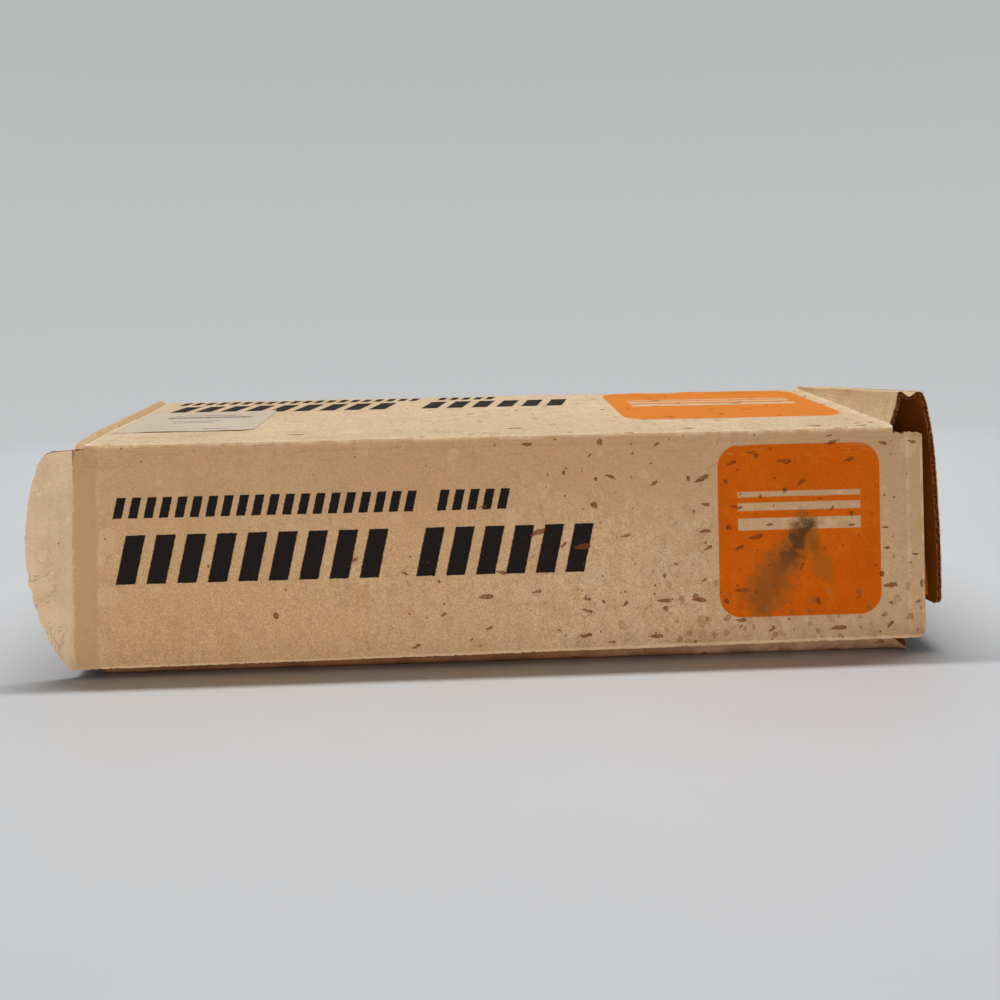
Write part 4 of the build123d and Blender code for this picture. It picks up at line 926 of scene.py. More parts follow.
class BuildFront(bpy.types.Operator):
    """Build the printed front, with its ragged lower edge and its double left crease"""

    bl_idname = "boxed_knife.front"
    bl_label = "Front panel"

    def execute(self, context):
        """Makes the front's sheet column by column."""
        sizes = context.scene.carton_sizes
        length = FRONT_HIGH.x - FRONT_LOW.x
        columns = round(length / sizes.column)
        heights = [0.0, 0.008, 0.016, 0.03, 0.05, 0.08] + [0.08 + 0.92 * step / 34 for step in range(1, 35)]
        rows = len(heights) - 1
        rng = random.Random(4)
        teeth = [rng.uniform(-1, 1) * rng.uniform(0.2, 1) for _ in range(columns + 1)]
        tears = [rng.uniform(-1, 1) for _ in range(columns + 1)]
        skirt = TOP_HIGH.z - 2 * sizes.crease
        right_foot = FRONT_LOW.z + FRONT_RISE

        def place(across, up):
            column = round(across * columns)
            row = round(up * rows)
            x = FRONT_LOW.x + length * across
            foot = FRONT_LOW.z + (right_foot - FRONT_LOW.z) * across
            corner = max(0.0, x - FRONT_HIGH.x + FRONT_CORNER)
            foot += FRONT_CORNER - math.sqrt(max(0.0, FRONT_CORNER ** 2 - corner ** 2))
            foot += sizes.ragged * (0.45 + 0.75 * teeth[column] * (0.6 + 0.4 * wander(x, 0, 5, 60, 1.5)))
            free = x < TOP_LOW.x - 0.0002 or x > TOP_HIGH.x + 0.0002
            crown = FRONT_HIGH.z - 0.0002 if free else skirt
            if free:
                crown += 0.00035 * tears[column] - (0.0001 if x < 0 else 0.0004)
                crown -= 0.0010 * dip(x, 0.1612, 0.0012) + 0.0012 * dip(x, 0.1698, 0.0008)
            z = foot + (crown - foot) * heights[row]
            y = FRONT_LOW.y + sizes.warp * (0.5 + 0.5 * wander(x, 0, z, 28, 1.6))
            y += 0.00035 * dip(x, -0.1602, 0.0008) + 0.00022 * dip(x, 0.1635, 0.0009)
            y += 0.00015 * dip(x, FRONT_LOW.x, 0.0010) + 0.0004 * dip(x, FRONT_HIGH.x, 0.0008)
            y += 0.0003 * dip(z, 0.0868, 0.0006) * (0.5 + 0.5 * wander(x, 1, 0, 60, 2.0))
            crumple = dip(x, -0.168, 0.008) * dip(z, FRONT_HIGH.z, 0.004)
            y += crumple * (0.0004 + 0.0009 * abs(wander(x, 3, z, 420, 1.6)))
            if row == 0:
                y += 0.0002 * abs(teeth[column])
            return Vector((x, y, z))

        shape = bmesh.new()
        add_sheet(shape, columns, rows, place)
        finish_piece("carton_front", shape, [Board.get("front")], "carton", ["front_panel"],
                     sizes.board)
        return {"FINISHED"}


class BuildTop(bpy.types.Operator):
    """Build the printed top with the long creases on both sides of it"""

    bl_idname = "boxed_knife.top"
    bl_label = "Top panel"

    def execute(self, context):
        """Sweeps the top's section along the carton."""
        sizes = context.scene.carton_sizes
        radius, high = sizes.crease, TOP_HIGH.z
        skirt = high - 2 * radius
        front, back = TOP_LOW.y, TOP_HIGH.y
        path = [(front, skirt), (front, skirt + radius * 0.5)]
        path += arc((front + radius, high - radius), radius, 180, 90, 7)
        path += run((front + radius + 0.001, high), (back - radius, high), 56)
        path += arc((back - radius, high - radius), radius, 90, 0, 7)
        path += [(back, skirt + radius * 0.5), (back, skirt)]
        length = TOP_HIGH.x - TOP_LOW.x
        columns, rows = round(length / (sizes.column * 1.3)), len(path) - 1

        def place(across, round_share):
            x = TOP_LOW.x + length * across
            y, z = path[round(round_share * rows)]
            fold = dip(y, front, 0.004) * dip(z, high, 0.006)
            z -= fold * (0.00025 + 0.0004 * abs(wander(x, 3, 0, 55, 1.5)))
            y += fold * 0.0003 * abs(wander(x, 7, 0, 90, 1.5))
            back_fold = dip(y, back, 0.004)
            z -= back_fold * 0.0005 * abs(wander(x, 5, 0, 40, 1.5))
            flat = max(0.0, 1 - back_fold - fold)
            z -= flat * sizes.warp * (0.35 + 0.5 * wander(x, y, 2, 24, 1.0)) * (1 - dip(x, TOP_HIGH.x, 0.004))
            if across > 0.9999 and z > high - radius:
                x, z = x + 0.00012, z + 0.0006
            return Vector((x, y, z))

        def slot(middle):
            if middle.z < high - radius * 0.45 and abs(middle.y) > back - radius:
                return 0 if middle.y < 0 else 2
            return 1

        shape = bmesh.new()
        add_sheet(shape, columns, rows, place, slot)
        finish_piece("carton_top", shape, [Board.get(name) for name in ("front", "top", "back")], "carton",
                     ["top_panel"], sizes.board)
        return {"FINISHED"}


class BuildBack(bpy.types.Operator):
    """Build the plain back and the base with its rolled front crease and glue tab"""

    bl_idname = "boxed_knife.back"
    bl_label = "Back and base"

    def execute(self, context):
        """Makes the back, the base and the tab that is glued up behind the front."""
        sizes = context.scene.carton_sizes
        radius = sizes.crease
        length = BACK_HIGH.x - BACK_LOW.x
        columns = round(length / 0.002)
        skirt = TOP_HIGH.z - 2 * radius
        low = BASE_LOW.z + 2 * radius

        def place_back(across, up):
            x = BACK_HIGH.x - length * across
            free = x < TOP_LOW.x - 0.0002 or x > TOP_HIGH.x + 0.0002
            crown = BACK_HIGH.z - 0.0006 + wander(x, 9, 0, 300, 0.0004) if free else skirt
            z = low + (crown - low) * up
            y = BACK_HIGH.y - sizes.warp * (0.5 + 0.5 * wander(x, 11, z, 26, 1.6))
            y -= 0.0003 * dip(x, -0.1640, 0.0008) + 0.0003 * dip(x, 0.1640, 0.0008)
            y -= 0.0005 * dip(x, BACK_HIGH.x, 0.0012) + 0.0005 * dip(x, BACK_LOW.x, 0.0012)
            return Vector((x, min(y, BACK_HIGH.y), z))

        shape = bmesh.new()
        add_sheet(shape, columns, 40, place_back)
        finish_piece("carton_back", shape, [Board.get("back")], "carton", ["back_panel"],
                     sizes.board)

        back, roll = BACK_HIGH.y, sizes.roll
        front = TAB_LOW.y
        path = [(back, low), (back, low - radius * 0.5)]
        path += arc((back - radius, radius), radius, 0, -90, 6)
        path += run((back - radius - 0.001, 0.0), (front + roll, 0.0), 50)
        path += arc((front + roll, roll), roll, 270, 180, 8)
        rows = len(path) - 1

        def place_base(across, round_share):
            x = BASE_LOW.x + (BASE_HIGH.x - BASE_LOW.x) * across
            row = round(round_share * rows)
            y, z = path[row]
            if row > rows - 9:
                y += 0.0003 * abs(wander(x, 13, 0, 35, 1.0))
                z *= 1 - 0.85 * min(1.0, max(0.0, x - 0.1550) / 0.0078)
            else:
                z += abs(wander(x, y, 6, 20, 0.0003))
            corner = max(0.0, x - 0.1620, -0.1590 - x) * 2.4
            y += corner * max(0.0, min(1.0, (0.02 - y) / 0.078))
            return Vector((x, y, z))

        shape = bmesh.new()
        add_sheet(shape, round(length / 0.0015), rows, place_base, lambda middle: int(middle.y < front + 0.006))
        finish_piece("carton_base", shape, [Board.get("base"), Board.get("strip")], "carton", ["bottom_panel"],
                     sizes.board)

        beside_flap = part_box("right_front_dust_flap")[0].x - 0.001
        flap_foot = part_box("right_front_dust_flap")[0].z - 0.0003

        def place_tab(across, up):
            x = TAB_LOW.x + (TAB_HIGH.x - TAB_LOW.x) * across
            crown = TAB_HIGH.z if x < beside_flap else flap_foot
            past = max(0.0, x - 0.1548)
            crown -= 0.76 * past + 0.35 * max(0.0, -0.1575 - x)
            foot = roll * 0.9 * max(0.1, 1 - past / 0.0080) + (0.003 if x < -0.1590 else 0.0)
            return Vector((x, front + 0.0001, foot + (crown - foot) * up))

        shape = bmesh.new()
        add_sheet(shape, 220, 10, place_tab)
        finish_piece("carton_glue_tab", shape, [Board.get("strip")], "carton", ["glue_tab"],
                     sizes.board - 0.0002)
        return {"FINISHED"}


class BuildLabel(bpy.types.Operator):
    """Build the paper label with its lifted front edge and cut corner"""

    bl_idname = "boxed_knife.label"
    bl_label = "Paper label"

    def execute(self, context):
        """Lays the label on the top."""
        cut = 0.004

        def place(across, along):
            y = LABEL_LOW.y + (LABEL_HIGH.y - LABEL_LOW.y) * along
            right = LABEL_HIGH.x - max(0.0, cut - (y - LABEL_LOW.y))
            x = LABEL_LOW.x + (right - LABEL_LOW.x) * across
            lift = 0.00025 * dip(y, LABEL_LOW.y, 0.0015) * (0.6 + 0.4 * math.sin(x * 210))
            lift += 0.00035 * dip(x, LABEL_HIGH.x, 0.002) * dip(y, LABEL_HIGH.y, 0.006)
            return Vector((x, y, TOP_HIGH.z + 0.00012 + lift + wander(x, y, 1, 120, 0.00005)))

        shape = bmesh.new()
        add_sheet(shape, 60, 60, place)
        paper_sheet = label_finish(context.scene.carton_colours)
        finish_piece("carton_label", shape, [paper_sheet], "carton", ["paper_label"], 0.0001,
                     inside=(paper_sheet, paper_sheet))
        return {"FINISHED"}


class BuildLeftEnd(bpy.types.Operator):
    """Build the left end: the crumpled shoulder, the shut closure and the crescent flap that stands out"""

    bl_idname = "boxed_knife.left_end"
    bl_label = "Left end"

    def execute(self, context):
        """Makes the three pieces of the left end."""
        sizes = context.scene.carton_sizes
        low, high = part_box("left_shoulder")
        path = [
            (low.x + 0.0001, low.z + 0.0001), (low.x + 0.0002, low.z + 0.0012), (low.x + 0.0007, low.z + 0.0025),
            (low.x + 0.0014, low.z + 0.0034), (low.x + 0.0022, high.z - 0.00005),
            (low.x + 0.0030, high.z - 0.0002), (low.x + 0.0038, high.z - 0.0008),
            (low.x + 0.0045, TOP_HIGH.z + 0.0003), (high.x, TOP_HIGH.z),
        ]
        rows = 150
        steps = len(path) - 1

        def place_shoulder(across, along):
            x, z = path[round(across * steps)]
            y = low.y + (high.y - low.y) * along
            crushed = dip(y, low.y, 0.012)
            inner = math.sin(across * math.pi)
            x += inner * (wander(y, 2, across, 160, 0.0006) + crushed * wander(y, across * 3, 5, 420, 0.0010))
            z -= inner * abs(wander(y, 4, across, 120, 0.0007)) + crushed * inner * 0.0010
            z -= inner * crushed * abs(wander(y, across * 4, 8, 500, 0.0016))
            for end in (low.y, high.y):
                near = max(0.0, 1 - abs(y - end) / 0.0022)
                z = low.z + (z - low.z) * math.sqrt(1 - near * near * 0.999)
                x += (low.x + 0.0025 - x) * near * near * 0.4
            return Vector((min(x, high.x), y, min(z, high.z)))

        shape = bmesh.new()
        add_sheet(shape, steps, rows, place_shoulder)
        finish_piece("carton_left_shoulder", shape, [Board.get("shoulder")], "carton", ["left_shoulder"],
                     0.0006, 55)

        low, high = CLOSURE_LOW, CLOSURE_HIGH
        heel = [(low.x + 0.0022, low.z), (low.x + 0.0012, low.z + 0.0002), (low.x + 0.0004, low.z + 0.0010),
                (low.x, low.z + 0.0024)]
        wall = run((low.x, low.z + 0.0044), (low.x, high.z - 0.0002), 40) + [(low.x, high.z - 0.0002)]
        section = heel + wall

        def place_closure(up, along):
            x, z = section[round(up * (len(section) - 1))]
            y = low.y + (high.y - low.y) * along
            x += 0.0006 * math.sin(math.pi * along) * math.sin(math.pi * up) + abs(wander(0, y, z, 30, 0.0002))
            return Vector((x, y, z))

        shape = bmesh.new()
        add_sheet(shape, len(section) - 1, 80, place_closure)
        finish_piece("carton_left_closure", shape, [Board.get("end")], "left_closure", ["left_closure"],
                     sizes.board)

        hinge = Vector((CRESCENT_HIGH.x, FRONT_LOW.y, 0))
        turn = Matrix.Rotation(math.radians(4), 4, "Z")
        foot, crown = FRONT_LOW.z + 0.0002, CRESCENT_HIGH.z
        widest, high_share = (CRESCENT_HIGH.x - CRESCENT_LOW.x) * 0.92, 0.57

        def reach_at(share):
            """How far the crescent stands out at a share of its height."""
            half = high_share if share < high_share else 1 - high_share
            fall = abs(share - high_share) / half
            if share < high_share:
                return widest * max(0.0, 1 - fall ** 1.9) ** 0.82
            return widest * (0.40 + 0.60 * math.sqrt(max(0.0, 1 - fall ** 1.7)))

        def place_crescent(across, up):
            reach = max(0.0002, reach_at(up) + wander(0, up, 3, 24, 0.0006) + wander(0, up, 7, 90, 0.0004))
            out = (1 - across) * reach
            z = foot + (crown - foot) * up
            z -= 0.0009 * out / 0.01 * dip(up, 1.0, 0.02)
            share = out / 0.0192
            y = 0.0022 * share * share * (1 - 0.4 * up)
            crumple = dip(up, 0.0, 0.16) + 0.8 * dip(up, 1.0, 0.07)
            y += abs(wander(out, up * 0.1, 4, 190, 0.0012)) * crumple * share
            y += 0.0012 * dip(out, 0.0078, 0.0022) * dip(up, 0.93, 0.06)
            y += abs(wander(out, z, 8, 60, 0.0006)) * share
            tucked = 1 if across > 0.999 else 0
            local = turn @ Vector((-out + 0.0008 * tucked, y + 0.0003 * tucked, 0))
            return Vector((hinge.x + local.x, hinge.y + local.y, z))

        shape = bmesh.new()
        add_sheet(shape, 26, 110, place_crescent)
        finish_piece("carton_crescent_flap", shape, [Board.get("crescent")], "left_front_dust_flap",
                     ["left_front_dust_flap"], sizes.board * 0.75)
        return {"FINISHED"}


def shifted(path, depth):
    """A section's line moved to its inner side by a depth."""
    moved = []
    for number, point in enumerate(path):
        before, after = path[max(0, number - 1)], path[min(len(path) - 1, number + 1)]
        run_x, run_z = after[0] - before[0], after[1] - before[1]
        size = math.hypot(run_x, run_z) or 1.0
        moved.append((point[0] + run_z / size * depth, point[1] - run_x / size * depth))
    return moved


def even(path, pitch):
    """A section's line with evenly spaced points."""
    lengths = [0.0]
    for first, second in zip(path, path[1:]):
        lengths.append(lengths[-1] + math.dist(first, second))
    steps = max(2, round(lengths[-1] / pitch))
    points = []
    for number in range(steps + 1):
        target = lengths[-1] * number / steps
        index = 0
        while index < len(path) - 2 and lengths[index + 1] < target:
            index += 1
        room = lengths[index + 1] - lengths[index] or 1.0
        share = min(1.0, max(0.0, (target - lengths[index]) / room))
        first, second = path[index], path[index + 1]
        points.append((first[0] + (second[0] - first[0]) * share, first[1] + (second[1] - first[1]) * share))
    return points


def corrugated(sizes, board, front_path, back_path, low_y, high_y, rows, skin=None):
    """Two liners and the wave between them, from a section at the front to one at the back."""
    shape = bmesh.new()
    liner = sizes.liner
    layers = []
    for path in (front_path, back_path):
        inner = shifted(path, board - liner)
        count = max(24, round(sum(math.dist(a, b) for a, b in zip(path, path[1:])) / (sizes.flute / 10)))
        layers.append((path, inner, count))
    count = layers[0][2]
    waves = []
    for path, _, _ in layers:
        total = sum(math.dist(a, b) for a, b in zip(path, path[1:]))
        base = even(path, total / count)
        middle = (board - liner) / 2
        swing = middle - liner * 0.6
        wave = []
        for number, point in enumerate(base):
            before, after = base[max(0, number - 1)], base[min(len(base) - 1, number + 1)]
            run_x, run_z = after[0] - before[0], after[1] - before[1]
            size = math.hypot(run_x, run_z) or 1.0
            depth = middle + swing * math.sin(number / count * total / sizes.flute * 2 * math.pi)
            wave.append((point[0] + run_z / size * depth, point[1] - run_x / size * depth))
        waves.append(wave)

    def between(first, second, slot):
        steps = len(first) - 1

        def place(along, across):
            index = round(along * steps)
            y = low_y + (high_y - low_y) * across
            x = first[index][0] + (second[index][0] - first[index][0]) * across
            z = first[index][1] + (second[index][1] - first[index][1]) * across
            if skin:
                x, y, z = skin(x, y, z, along, across)
            return Vector((x, y, z))

        add_sheet(shape, steps, rows, place, slot)

    between(layers[0][0], layers[1][0], 0)
    between(layers[0][1], layers[1][1], 1)
    between(waves[0], waves[1], 1)
    return shape


class BuildRightEnd(bpy.types.Operator):
    """Build the right end: the bent-up riser, the double crease and the hanging closure"""

    bl_idname = "boxed_knife.right_end"
    bl_label = "Right end"

    def execute(self, context):
        """Makes the right end's pieces from the same sections as the solids."""
        sizes = context.scene.carton_sizes
        board, liner = sizes.board, sizes.liner
        lean, splay = math.radians(RISER_LEAN), math.radians(CLOSURE_SPLAY)
        low_y, high_y = RISER_LOW.y, RISER_HIGH.y
        foot_x, foot_z = TOP_HIGH.x, TOP_HIGH.z
        ridge_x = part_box("right_closure")[0].x

        def bent_path(width, valley):
            """Up the riser, round its ridge and over the valley to the second ridge."""
            points = []
            for number in range(15):
                along = 0.0003 + (width - 0.0006) * number / 14
                sag = 0.0004 * math.sin(math.pi * number / 14) * min(1, width / 0.01)
                points.append((foot_x + along * math.cos(lean) + sag, foot_z + along * math.sin(lean)))
            left_x, left_z = points[-1][0] + 0.0009, points[-1][1] + 0.0003
            right_x = ridge_x - 0.0003
            for number in range(25):
                share = number / 24
                drop = valley * (0.5 - 0.5 * math.cos(2 * math.pi * share))
                ends = 0.0006 * (dip(share, 1.0, 0.06))
                points.append((left_x + (right_x - left_x) * share, left_z - drop - ends))
            return points

        def bent_skin(x, y, z, along, across):
            front_edge = 1 if across < 0.02 else 0
            y += (0.0016 * abs(noise.noise(Vector((along * 83, 2, 0)))) - 0.0002) * front_edge
            z -= abs(wander(x, y, 3, 60, 0.0004)) * (1 if along > 0.5 else 0)
            return x + wander(0, y, along, 40, 0.0002), y, z

        front_bend, back_bend = (bent_path(*bend) for bend in zip(RISER_WIDTHS, RISER_VALLEYS))
        shape = corrugated(sizes, sizes.crushed, front_bend, back_bend, low_y, high_y, 60, bent_skin)
        finish_piece("carton_riser_and_bridge", shape, [Board.get("riser"), Board.get("right_inner")],
                     "right_riser", ["right_riser", "right_bridge"], liner, plain_rim=True)

        closure_low, closure_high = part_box("right_closure")
        front_z = foot_z + 0.014 * math.sin(lean)
        back_z = foot_z + 0.0015 * math.sin(lean)
        drop = (back_z - closure_low.z) / math.cos(splay)

        def closure_path(ridge_z):
            points = arc((ridge_x + 0.0002, ridge_z - RIDGE_RADIUS), RIDGE_RADIUS, 100, 8, 6)
            steps = 60
            for number in range(1, steps + 1):
                along = 0.0022 + (drop - 0.0022) * number / steps
                bow = CLOSURE_BOW * (1 - math.exp(-along / BOW_START)) - CLOSURE_BOW * (along / drop) ** 2
                across = board + bow
                points.append((ridge_x + along * math.sin(splay) + across * math.cos(splay),
                               ridge_z - along * math.cos(splay) + across * math.sin(splay)))
            return points

        def closure_skin(x, y, z, along, across):
            drop_share = max(0.0, along - 0.965) / 0.035
            reach = CLOSURE_CORNER * drop_share * drop_share
            middle = (low_y + high_y) / 2
            half = (high_y - low_y) / 2
            y = middle + (y - middle) * (half - reach) / half
            rim = 1 if across < 0.02 or across > 0.98 else 0
            y += 0.0007 * noise.noise(Vector((along * 97, 9, across))) * rim
            return min(x + wander(0, y, z, 34, 0.0003), closure_high.x), y, z

        shape = corrugated(sizes, board, closure_path(front_z), closure_path(back_z), low_y, high_y, 60,
                           closure_skin)
        finish_piece("carton_right_closure", shape, [Board.get("closure"), Board.get("right_inner")],
                     "right_closure", ["right_closure"], liner, plain_rim=True)
        for node in ("right_tuck_tab", "right_front_dust_flap", "right_back_dust_flap",
                     "left_back_dust_flap", "left_tuck_tab"):
            dress(node, Board.get("inner"), 0.0003)
        return {"FINISHED"}


class DressTray(bpy.types.Operator):
    """Finish the inner tray, its divider and the two cradles"""

    bl_idname = "boxed_knife.tray"
    bl_label = "Tray"

    def execute(self, context):
        """Gives the tray's boards their kraft finish and soft edges."""
        kraft = kraft_finish(context.scene.carton_sizes, linear(186, 146, 100))
        for node in ("inner_tray", "tray_divider", "rear_cradle", "front_cradle"):
            dress(node, kraft, 0.0004)
        return {"FINISHED"}


class DressHandle(bpy.types.Operator):
    """Finish the knife's housing, its buttons, inlet and screws"""

    bl_idname = "boxed_knife.handle"
    bl_label = "Handle"

    def execute(self, context):
        """Gives each outer part of the handle its plastic or metal."""
        colours = context.scene.knife_colours
        housing = moulded_finish("housing_green", tuple(colours.housing), 0.36)
        button = moulded_finish("button_black", tuple(colours.button), 0.30)
        black = moulded_finish("black_plastic", tuple(colours.black), 0.48)
        trim = brushed_finish("nose_trim_metal", tuple(colours.steel), 0.18, (1.0, 0.05, 1.0))
        screw = brushed_finish("screw_steel", shade(colours.steel, 0.8), 0.34, (1.0, 1.0, 1.0))
        brass = brushed_finish("pin_brass", tuple(colours.brass), 0.30, (0.1, 1.0, 1.0))
        for node, material, width in (
            ("left_shell", housing, 0.0003), ("right_shell", housing, 0.0003), ("nose_plate", trim, 0.0003),
            ("housing_screws", screw, 0.0002), ("inlet_housing", black, 0.0003), ("inlet_pins", brass, 0.0003),
            ("trigger", button, 0.0006), ("lock_button", button, 0.0005), ("release_button", button, 0.0005),
            ("switch_body", black, 0.0004),
        ):
            dress(node, material, width)
        return {"FINISHED"}


class DressMotor(bpy.types.Operator):
    """Finish the motor: iron, windings, commutator, brushes, bearings and fan"""

    bl_idname = "boxed_knife.motor"
    bl_label = "Motor"

    def execute(self, context):
        """Gives each part of the motor its metal."""
        colours = context.scene.knife_colours
        core = laminated_finish("laminated_iron", tuple(colours.core), 0.0007)
        coil = wound_finish("wound_copper", tuple(colours.copper), 0.0006, "x")
        field = wound_finish("wound_field_copper", shade(colours.copper, 0.8), 0.0006, "z")
        bars = brushed_finish("commutator_copper", tuple(colours.copper), 0.26, (0.05, 1.0, 1.0))
        steel = brushed_finish("turned_steel", tuple(colours.steel), 0.22, (1.0, 0.2, 0.2))
        brass = brushed_finish("bearing_bronze", shade(colours.brass, 0.85), 0.36, (1.0, 0.3, 0.3))
        bracket = moulded_finish("bracket_phenolic", linear(92, 58, 34), 0.5)
        nylon = moulded_finish("fan_nylon", tuple(colours.nylon), 0.44)
        carbon = brushed_finish("brush_carbon", tuple(colours.carbon), 0.6, (1.0, 0.1, 1.0), 0.2)
        for node, material, width in (
            ("stator_core", core, 0.0003), ("armature_core", core, 0.0002), ("armature_winding", coil, 0.0006),
            ("field_coils", field, 0.0006), ("commutator", bars, 0.0002), ("motor_shaft", steel, 0.0003),
            ("rear_bearing", brass, 0.0003), ("front_bearing", brass, 0.0003), ("rear_bracket", bracket, 0.0004),
            ("front_bracket", bracket, 0.0004), ("cooling_fan", nylon, 0.0002), ("carbon_brushes", carbon, 0.0002),
            ("brush_holders", brass, 0.0002), ("brush_springs", steel, 0.0001),
        ):
            dress(node, material, width)
        return {"FINISHED"}


def coil_spring(node, body, material):
    """Winds a spring of wire in a node's place."""
    low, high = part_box(node)
    length = high.z - low.z
    steps = SPRING_TURNS * 20
    shape = bmesh.new()
    bmesh.ops.create_circle(shape, segments=10, radius=SPRING_WIRE / 2)
    bmesh.ops.rotate(shape, verts=shape.verts, matrix=Matrix.Rotation(math.radians(90), 3, "X"))
    reach = (high.x - low.x - SPRING_WIRE) / 2
    bmesh.ops.translate(shape, verts=shape.verts, vec=(reach, 0, low.z + SPRING_WIRE / 2))
    bmesh.ops.spin(shape, geom=shape.edges[:], axis=(0, 0, 1), dvec=(0, 0, (length - SPRING_WIRE) / steps),
                   angle=2 * math.pi * SPRING_TURNS, steps=steps, use_merge=False)
    bmesh.ops.holes_fill(shape, edges=[edge for edge in shape.edges if edge.is_boundary])
    bmesh.ops.recalc_face_normals(shape, faces=shape.faces)
    bmesh.ops.translate(shape, verts=shape.verts, vec=((low.x + high.x) / 2, (low.y + high.y) / 2, 0))
    spring = make_object("coiled_" + node, shape)
    spring.data.shade_smooth()
    spring.data.set_sharp_from_angle(angle=math.radians(SHARP_ANGLE))
    spring.data.materials.append(material)
    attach(spring, body)
    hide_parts(node)
    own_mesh(spring)


class DressDrive(bpy.types.Operator):
    """Finish the worm drive and the blade carriers, and wind the two springs"""

    bl_idname = "boxed_knife.drive"
    bl_label = "Drive"

    def execute(self, context):
        """Gives each part of the drive its metal or nylon, and makes the springs."""
        colours = context.scene.knife_colours
        steel = brushed_finish("drive_steel", tuple(colours.steel), 0.24, (1.0, 0.3, 0.3))
        wire = brushed_finish("spring_wire", shade(colours.steel, 0.85), 0.30, (1.0, 1.0, 8.0))
        nylon = moulded_finish("gear_nylon", tuple(colours.nylon), 0.40)
        for node, material, width in (
            ("drive_worm", steel, 0.0002), ("worm_wheel", nylon, 0.0002), ("crank_pins", steel, 0.0003),
            ("wheel_axle", steel, 0.0003), ("left_blade_carrier", nylon, 0.0003),
            ("right_blade_carrier", nylon, 0.0003), ("carrier_guide", nylon, 0.0004),
        ):
            dress(node, material, width)
        for node, body, joint, up in (
            ("trigger_spring", "trigger", "trigger_press", True),
            ("release_spring", "release_button", "release_press", False),
        ):
            coil_spring(node, body, wire)
        return {"FINISHED"}


class DressBlades(bpy.types.Operator):
    """Finish the two scalloped blades, their rivet and the guard round them"""

    bl_idname = "boxed_knife.blades"
    bl_label = "Blades"

    def execute(self, context):
        """Gives the blades ground steel and the guard its plastic."""
        colours = context.scene.knife_colours
        ground = brushed_finish("ground_blade_steel", tuple(colours.steel), 0.20, (1.0, 0.03, 1.0))
        rivet = brushed_finish("rivet_steel", shade(colours.steel, 0.85), 0.26, (1.0, 1.0, 1.0))
        guard = moulded_finish("guard_plastic", tuple(colours.guard), 0.46)
        for node, material, width in (
            ("lower_blade", ground, 0.0002), ("upper_blade", ground, 0.0002), ("blade_rivet", rivet, 0.0002),
            ("blade_guard", guard, 0.0003),
        ):
            dress(node, material, width)
        return {"FINISHED"}


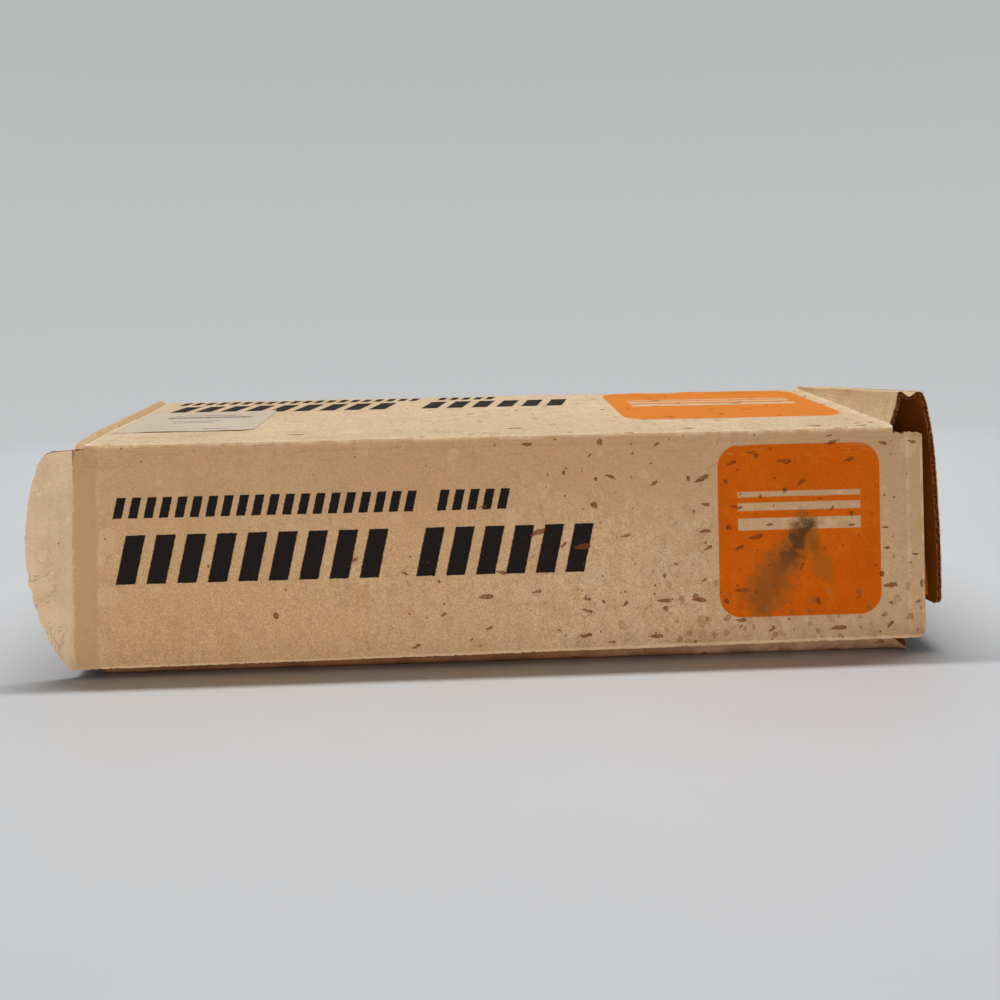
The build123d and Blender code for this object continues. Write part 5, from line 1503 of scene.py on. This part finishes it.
class BuildStage(bpy.types.Operator):
    """Build the pale table and wall, the soft lamps and the camera at the photograph's angle"""

    bl_idname = "boxed_knife.stage"
    bl_label = "Stage"

    def execute(self, context):
        """Makes the floor, the light and the camera."""
        scene = context.scene
        stage = scene.knife_stage
        shape = bmesh.new()
        bmesh.ops.create_grid(shape, x_segments=8, y_segments=8, size=TABLE_HALF)
        for vert in shape.verts:
            vert.co.y += stage.table_back - TABLE_HALF
        table = make_object("table", shape)
        finish = Finish("pale_table", 0.34)
        tone = finish.mix(finish.span(finish.noise(3, 3), 0.3, 0.7, 0.0, 0.12), tuple(stage.table),
                          shade(stage.table, 0.94))
        # Painted light: the table is lighter towards the back.
        finish.colour(finish.mix(finish.span(finish.y, 0.05, 0.45), tone, shade(stage.table, 1.12)))
        finish.roughness(finish.span(finish.noise(14, 2), 0.3, 0.7, 0.42, 0.50))
        reach = finish.math("SQRT", finish.add(finish.times(finish.x, finish.x), finish.times(finish.y, finish.y)))
        fade = finish.math("MAXIMUM", finish.span(finish.y, stage.table_back - 0.03, stage.table_back),
                           finish.span(reach, 0.85, 1.7))
        finish.fade_to(stage.wall, fade)
        table.data.materials.append(finish.material)

        world = bpy.data.worlds.new("studio")
        scene.world = world
        world.use_nodes = True
        tree = world.node_tree
        light = tree.nodes["Background"]
        light.inputs["Color"].default_value = (1.0, 1.0, 1.0, 1)
        light.inputs["Strength"].default_value = SKY_LIGHT
        seen = tree.nodes.new("ShaderNodeBackground")
        seen.inputs["Strength"].default_value = 1.0
        way = tree.nodes.new("ShaderNodeTexCoord")
        split = tree.nodes.new("ShaderNodeSeparateXYZ")
        rise = tree.nodes.new("ShaderNodeMapRange")
        rise.inputs["From Min"].default_value, rise.inputs["From Max"].default_value = WALL_SLOPES
        wall = tree.nodes.new("ShaderNodeMix")
        wall.data_type = "RGBA"
        wall.inputs[6].default_value = (*stage.wall, 1)
        wall.inputs[7].default_value = (*stage.wall_high, 1)
        tree.links.new(way.outputs["Generated"], split.inputs[0])
        tree.links.new(split.outputs[2], rise.inputs["Value"])
        tree.links.new(rise.outputs[0], wall.inputs[0])
        tree.links.new(wall.outputs[2], seen.inputs["Color"])
        path = tree.nodes.new("ShaderNodeLightPath")
        either = tree.nodes.new("ShaderNodeMath")
        either.operation = "MAXIMUM"
        tree.links.new(path.outputs["Is Camera Ray"], either.inputs[0])
        tree.links.new(path.outputs["Is Glossy Ray"], either.inputs[1])
        choice = tree.nodes.new("ShaderNodeMixShader")
        tree.links.new(either.outputs[0], choice.inputs[0])
        tree.links.new(light.outputs[0], choice.inputs[1])
        tree.links.new(seen.outputs[0], choice.inputs[2])
        tree.links.new(choice.outputs[0], tree.nodes["World Output"].inputs["Surface"])

        object_only = bpy.data.collections.new("object_only")
        for piece in scene.objects:
            if piece.type == "MESH" and piece != table:
                object_only.objects.link(piece)
        for name, place, size, power in (
            ("overhead", (0.00, 0.10, 1.15), (1.3, 0.05), stage.lamp),
            ("soft", (0.05, 0.45, 1.10), (0.9, 0.9), stage.soft),
            ("fill", (-0.30, -1.70, 0.26), (0.9, 0.9), stage.fill),
            ("left", (-1.80, 0.20, 0.35), (1.6, 1.6), stage.side),
            ("right", (1.80, 0.20, 0.35), (1.6, 1.6), stage.side),
        ):
            data = bpy.data.lights.new(name, "AREA")
            data.shape = "RECTANGLE"
            data.size, data.size_y = size
            data.energy = power
            lamp = bpy.data.objects.new(name, data)
            scene.collection.objects.link(lamp)
            lamp.location = place
            lamp.rotation_euler = (Vector(LAMP_TARGET) - Vector(place)).to_track_quat("-Z", "Y").to_euler()
            if name in ("fill", "left", "right"):
                lamp.light_linking.receiver_collection = object_only

        data = bpy.data.cameras.new("photo_camera")
        data.sensor_width = 36
        data.lens = stage.lens
        data.shift_y = stage.shift
        data.clip_start = 0.01
        camera = bpy.data.objects.new("photo_camera", data)
        scene.collection.objects.link(camera)
        yaw, pitch, roll = (math.radians(angle) for angle in CAMERA_TURN)
        forward = Vector((math.sin(yaw) * math.cos(pitch), math.cos(yaw) * math.cos(pitch), -math.sin(pitch)))
        level = Vector((math.cos(yaw), -math.sin(yaw), 0))
        upright = level.cross(forward)
        right = level * math.cos(roll) + upright * math.sin(roll)
        up = upright * math.cos(roll) - level * math.sin(roll)
        turn = Matrix((right, up, -forward)).transposed().to_4x4()
        camera.matrix_world = Matrix.Translation(CAMERA_PLACE) @ turn
        scene.camera = camera
        scene.view_settings.view_transform = "Standard"
        return {"FINISHED"}


PIECES = (BuildFront, BuildTop, BuildBack, BuildLabel, BuildLeftEnd, BuildRightEnd,
          DressTray, DressHandle, DressMotor, DressDrive, DressBlades, BuildStage)
SETTINGS = (("carton_sizes", CartonSizes), ("carton_colours", CartonColours),
            ("knife_colours", KnifeColours), ("knife_stage", StageSettings))


class BoxedKnifePanel(bpy.types.Panel):
    """The settings and the steps that build the boxed knife."""

    bl_idname = "VIEW3D_PT_boxed_knife"
    bl_label = "Boxed knife"
    bl_space_type = "VIEW_3D"
    bl_region_type = "UI"
    bl_category = "Boxed knife"

    def draw(self, context):
        """Lists the settings, and then the steps."""
        for name, group in SETTINGS:
            column = self.layout.column(heading=name.replace("_", " "))
            for setting in group.__annotations__:
                column.prop(getattr(context.scene, name), setting)
        for piece in PIECES:
            self.layout.operator(piece.bl_idname)


def register():
    """Registers the settings, the steps and the panel."""
    for name, group in SETTINGS:
        bpy.utils.register_class(group)
        setattr(bpy.types.Scene, name, PointerProperty(type=group))
    for piece in (*PIECES, BoxedKnifePanel):
        bpy.utils.register_class(piece)


def unregister():
    """Takes the panel, the steps and the settings away again."""
    for piece in (BoxedKnifePanel, *reversed(PIECES)):
        bpy.utils.unregister_class(piece)
    for name, group in reversed(SETTINGS):
        delattr(bpy.types.Scene, name)
        bpy.utils.unregister_class(group)


def main():
    """Builds everything in order."""
    register()
    for piece in PIECES:
        group, name = piece.bl_idname.split(".")
        getattr(getattr(bpy.ops, group), name)()
    bpy.context.view_layer.update()


if __name__ == "__main__":
    main()
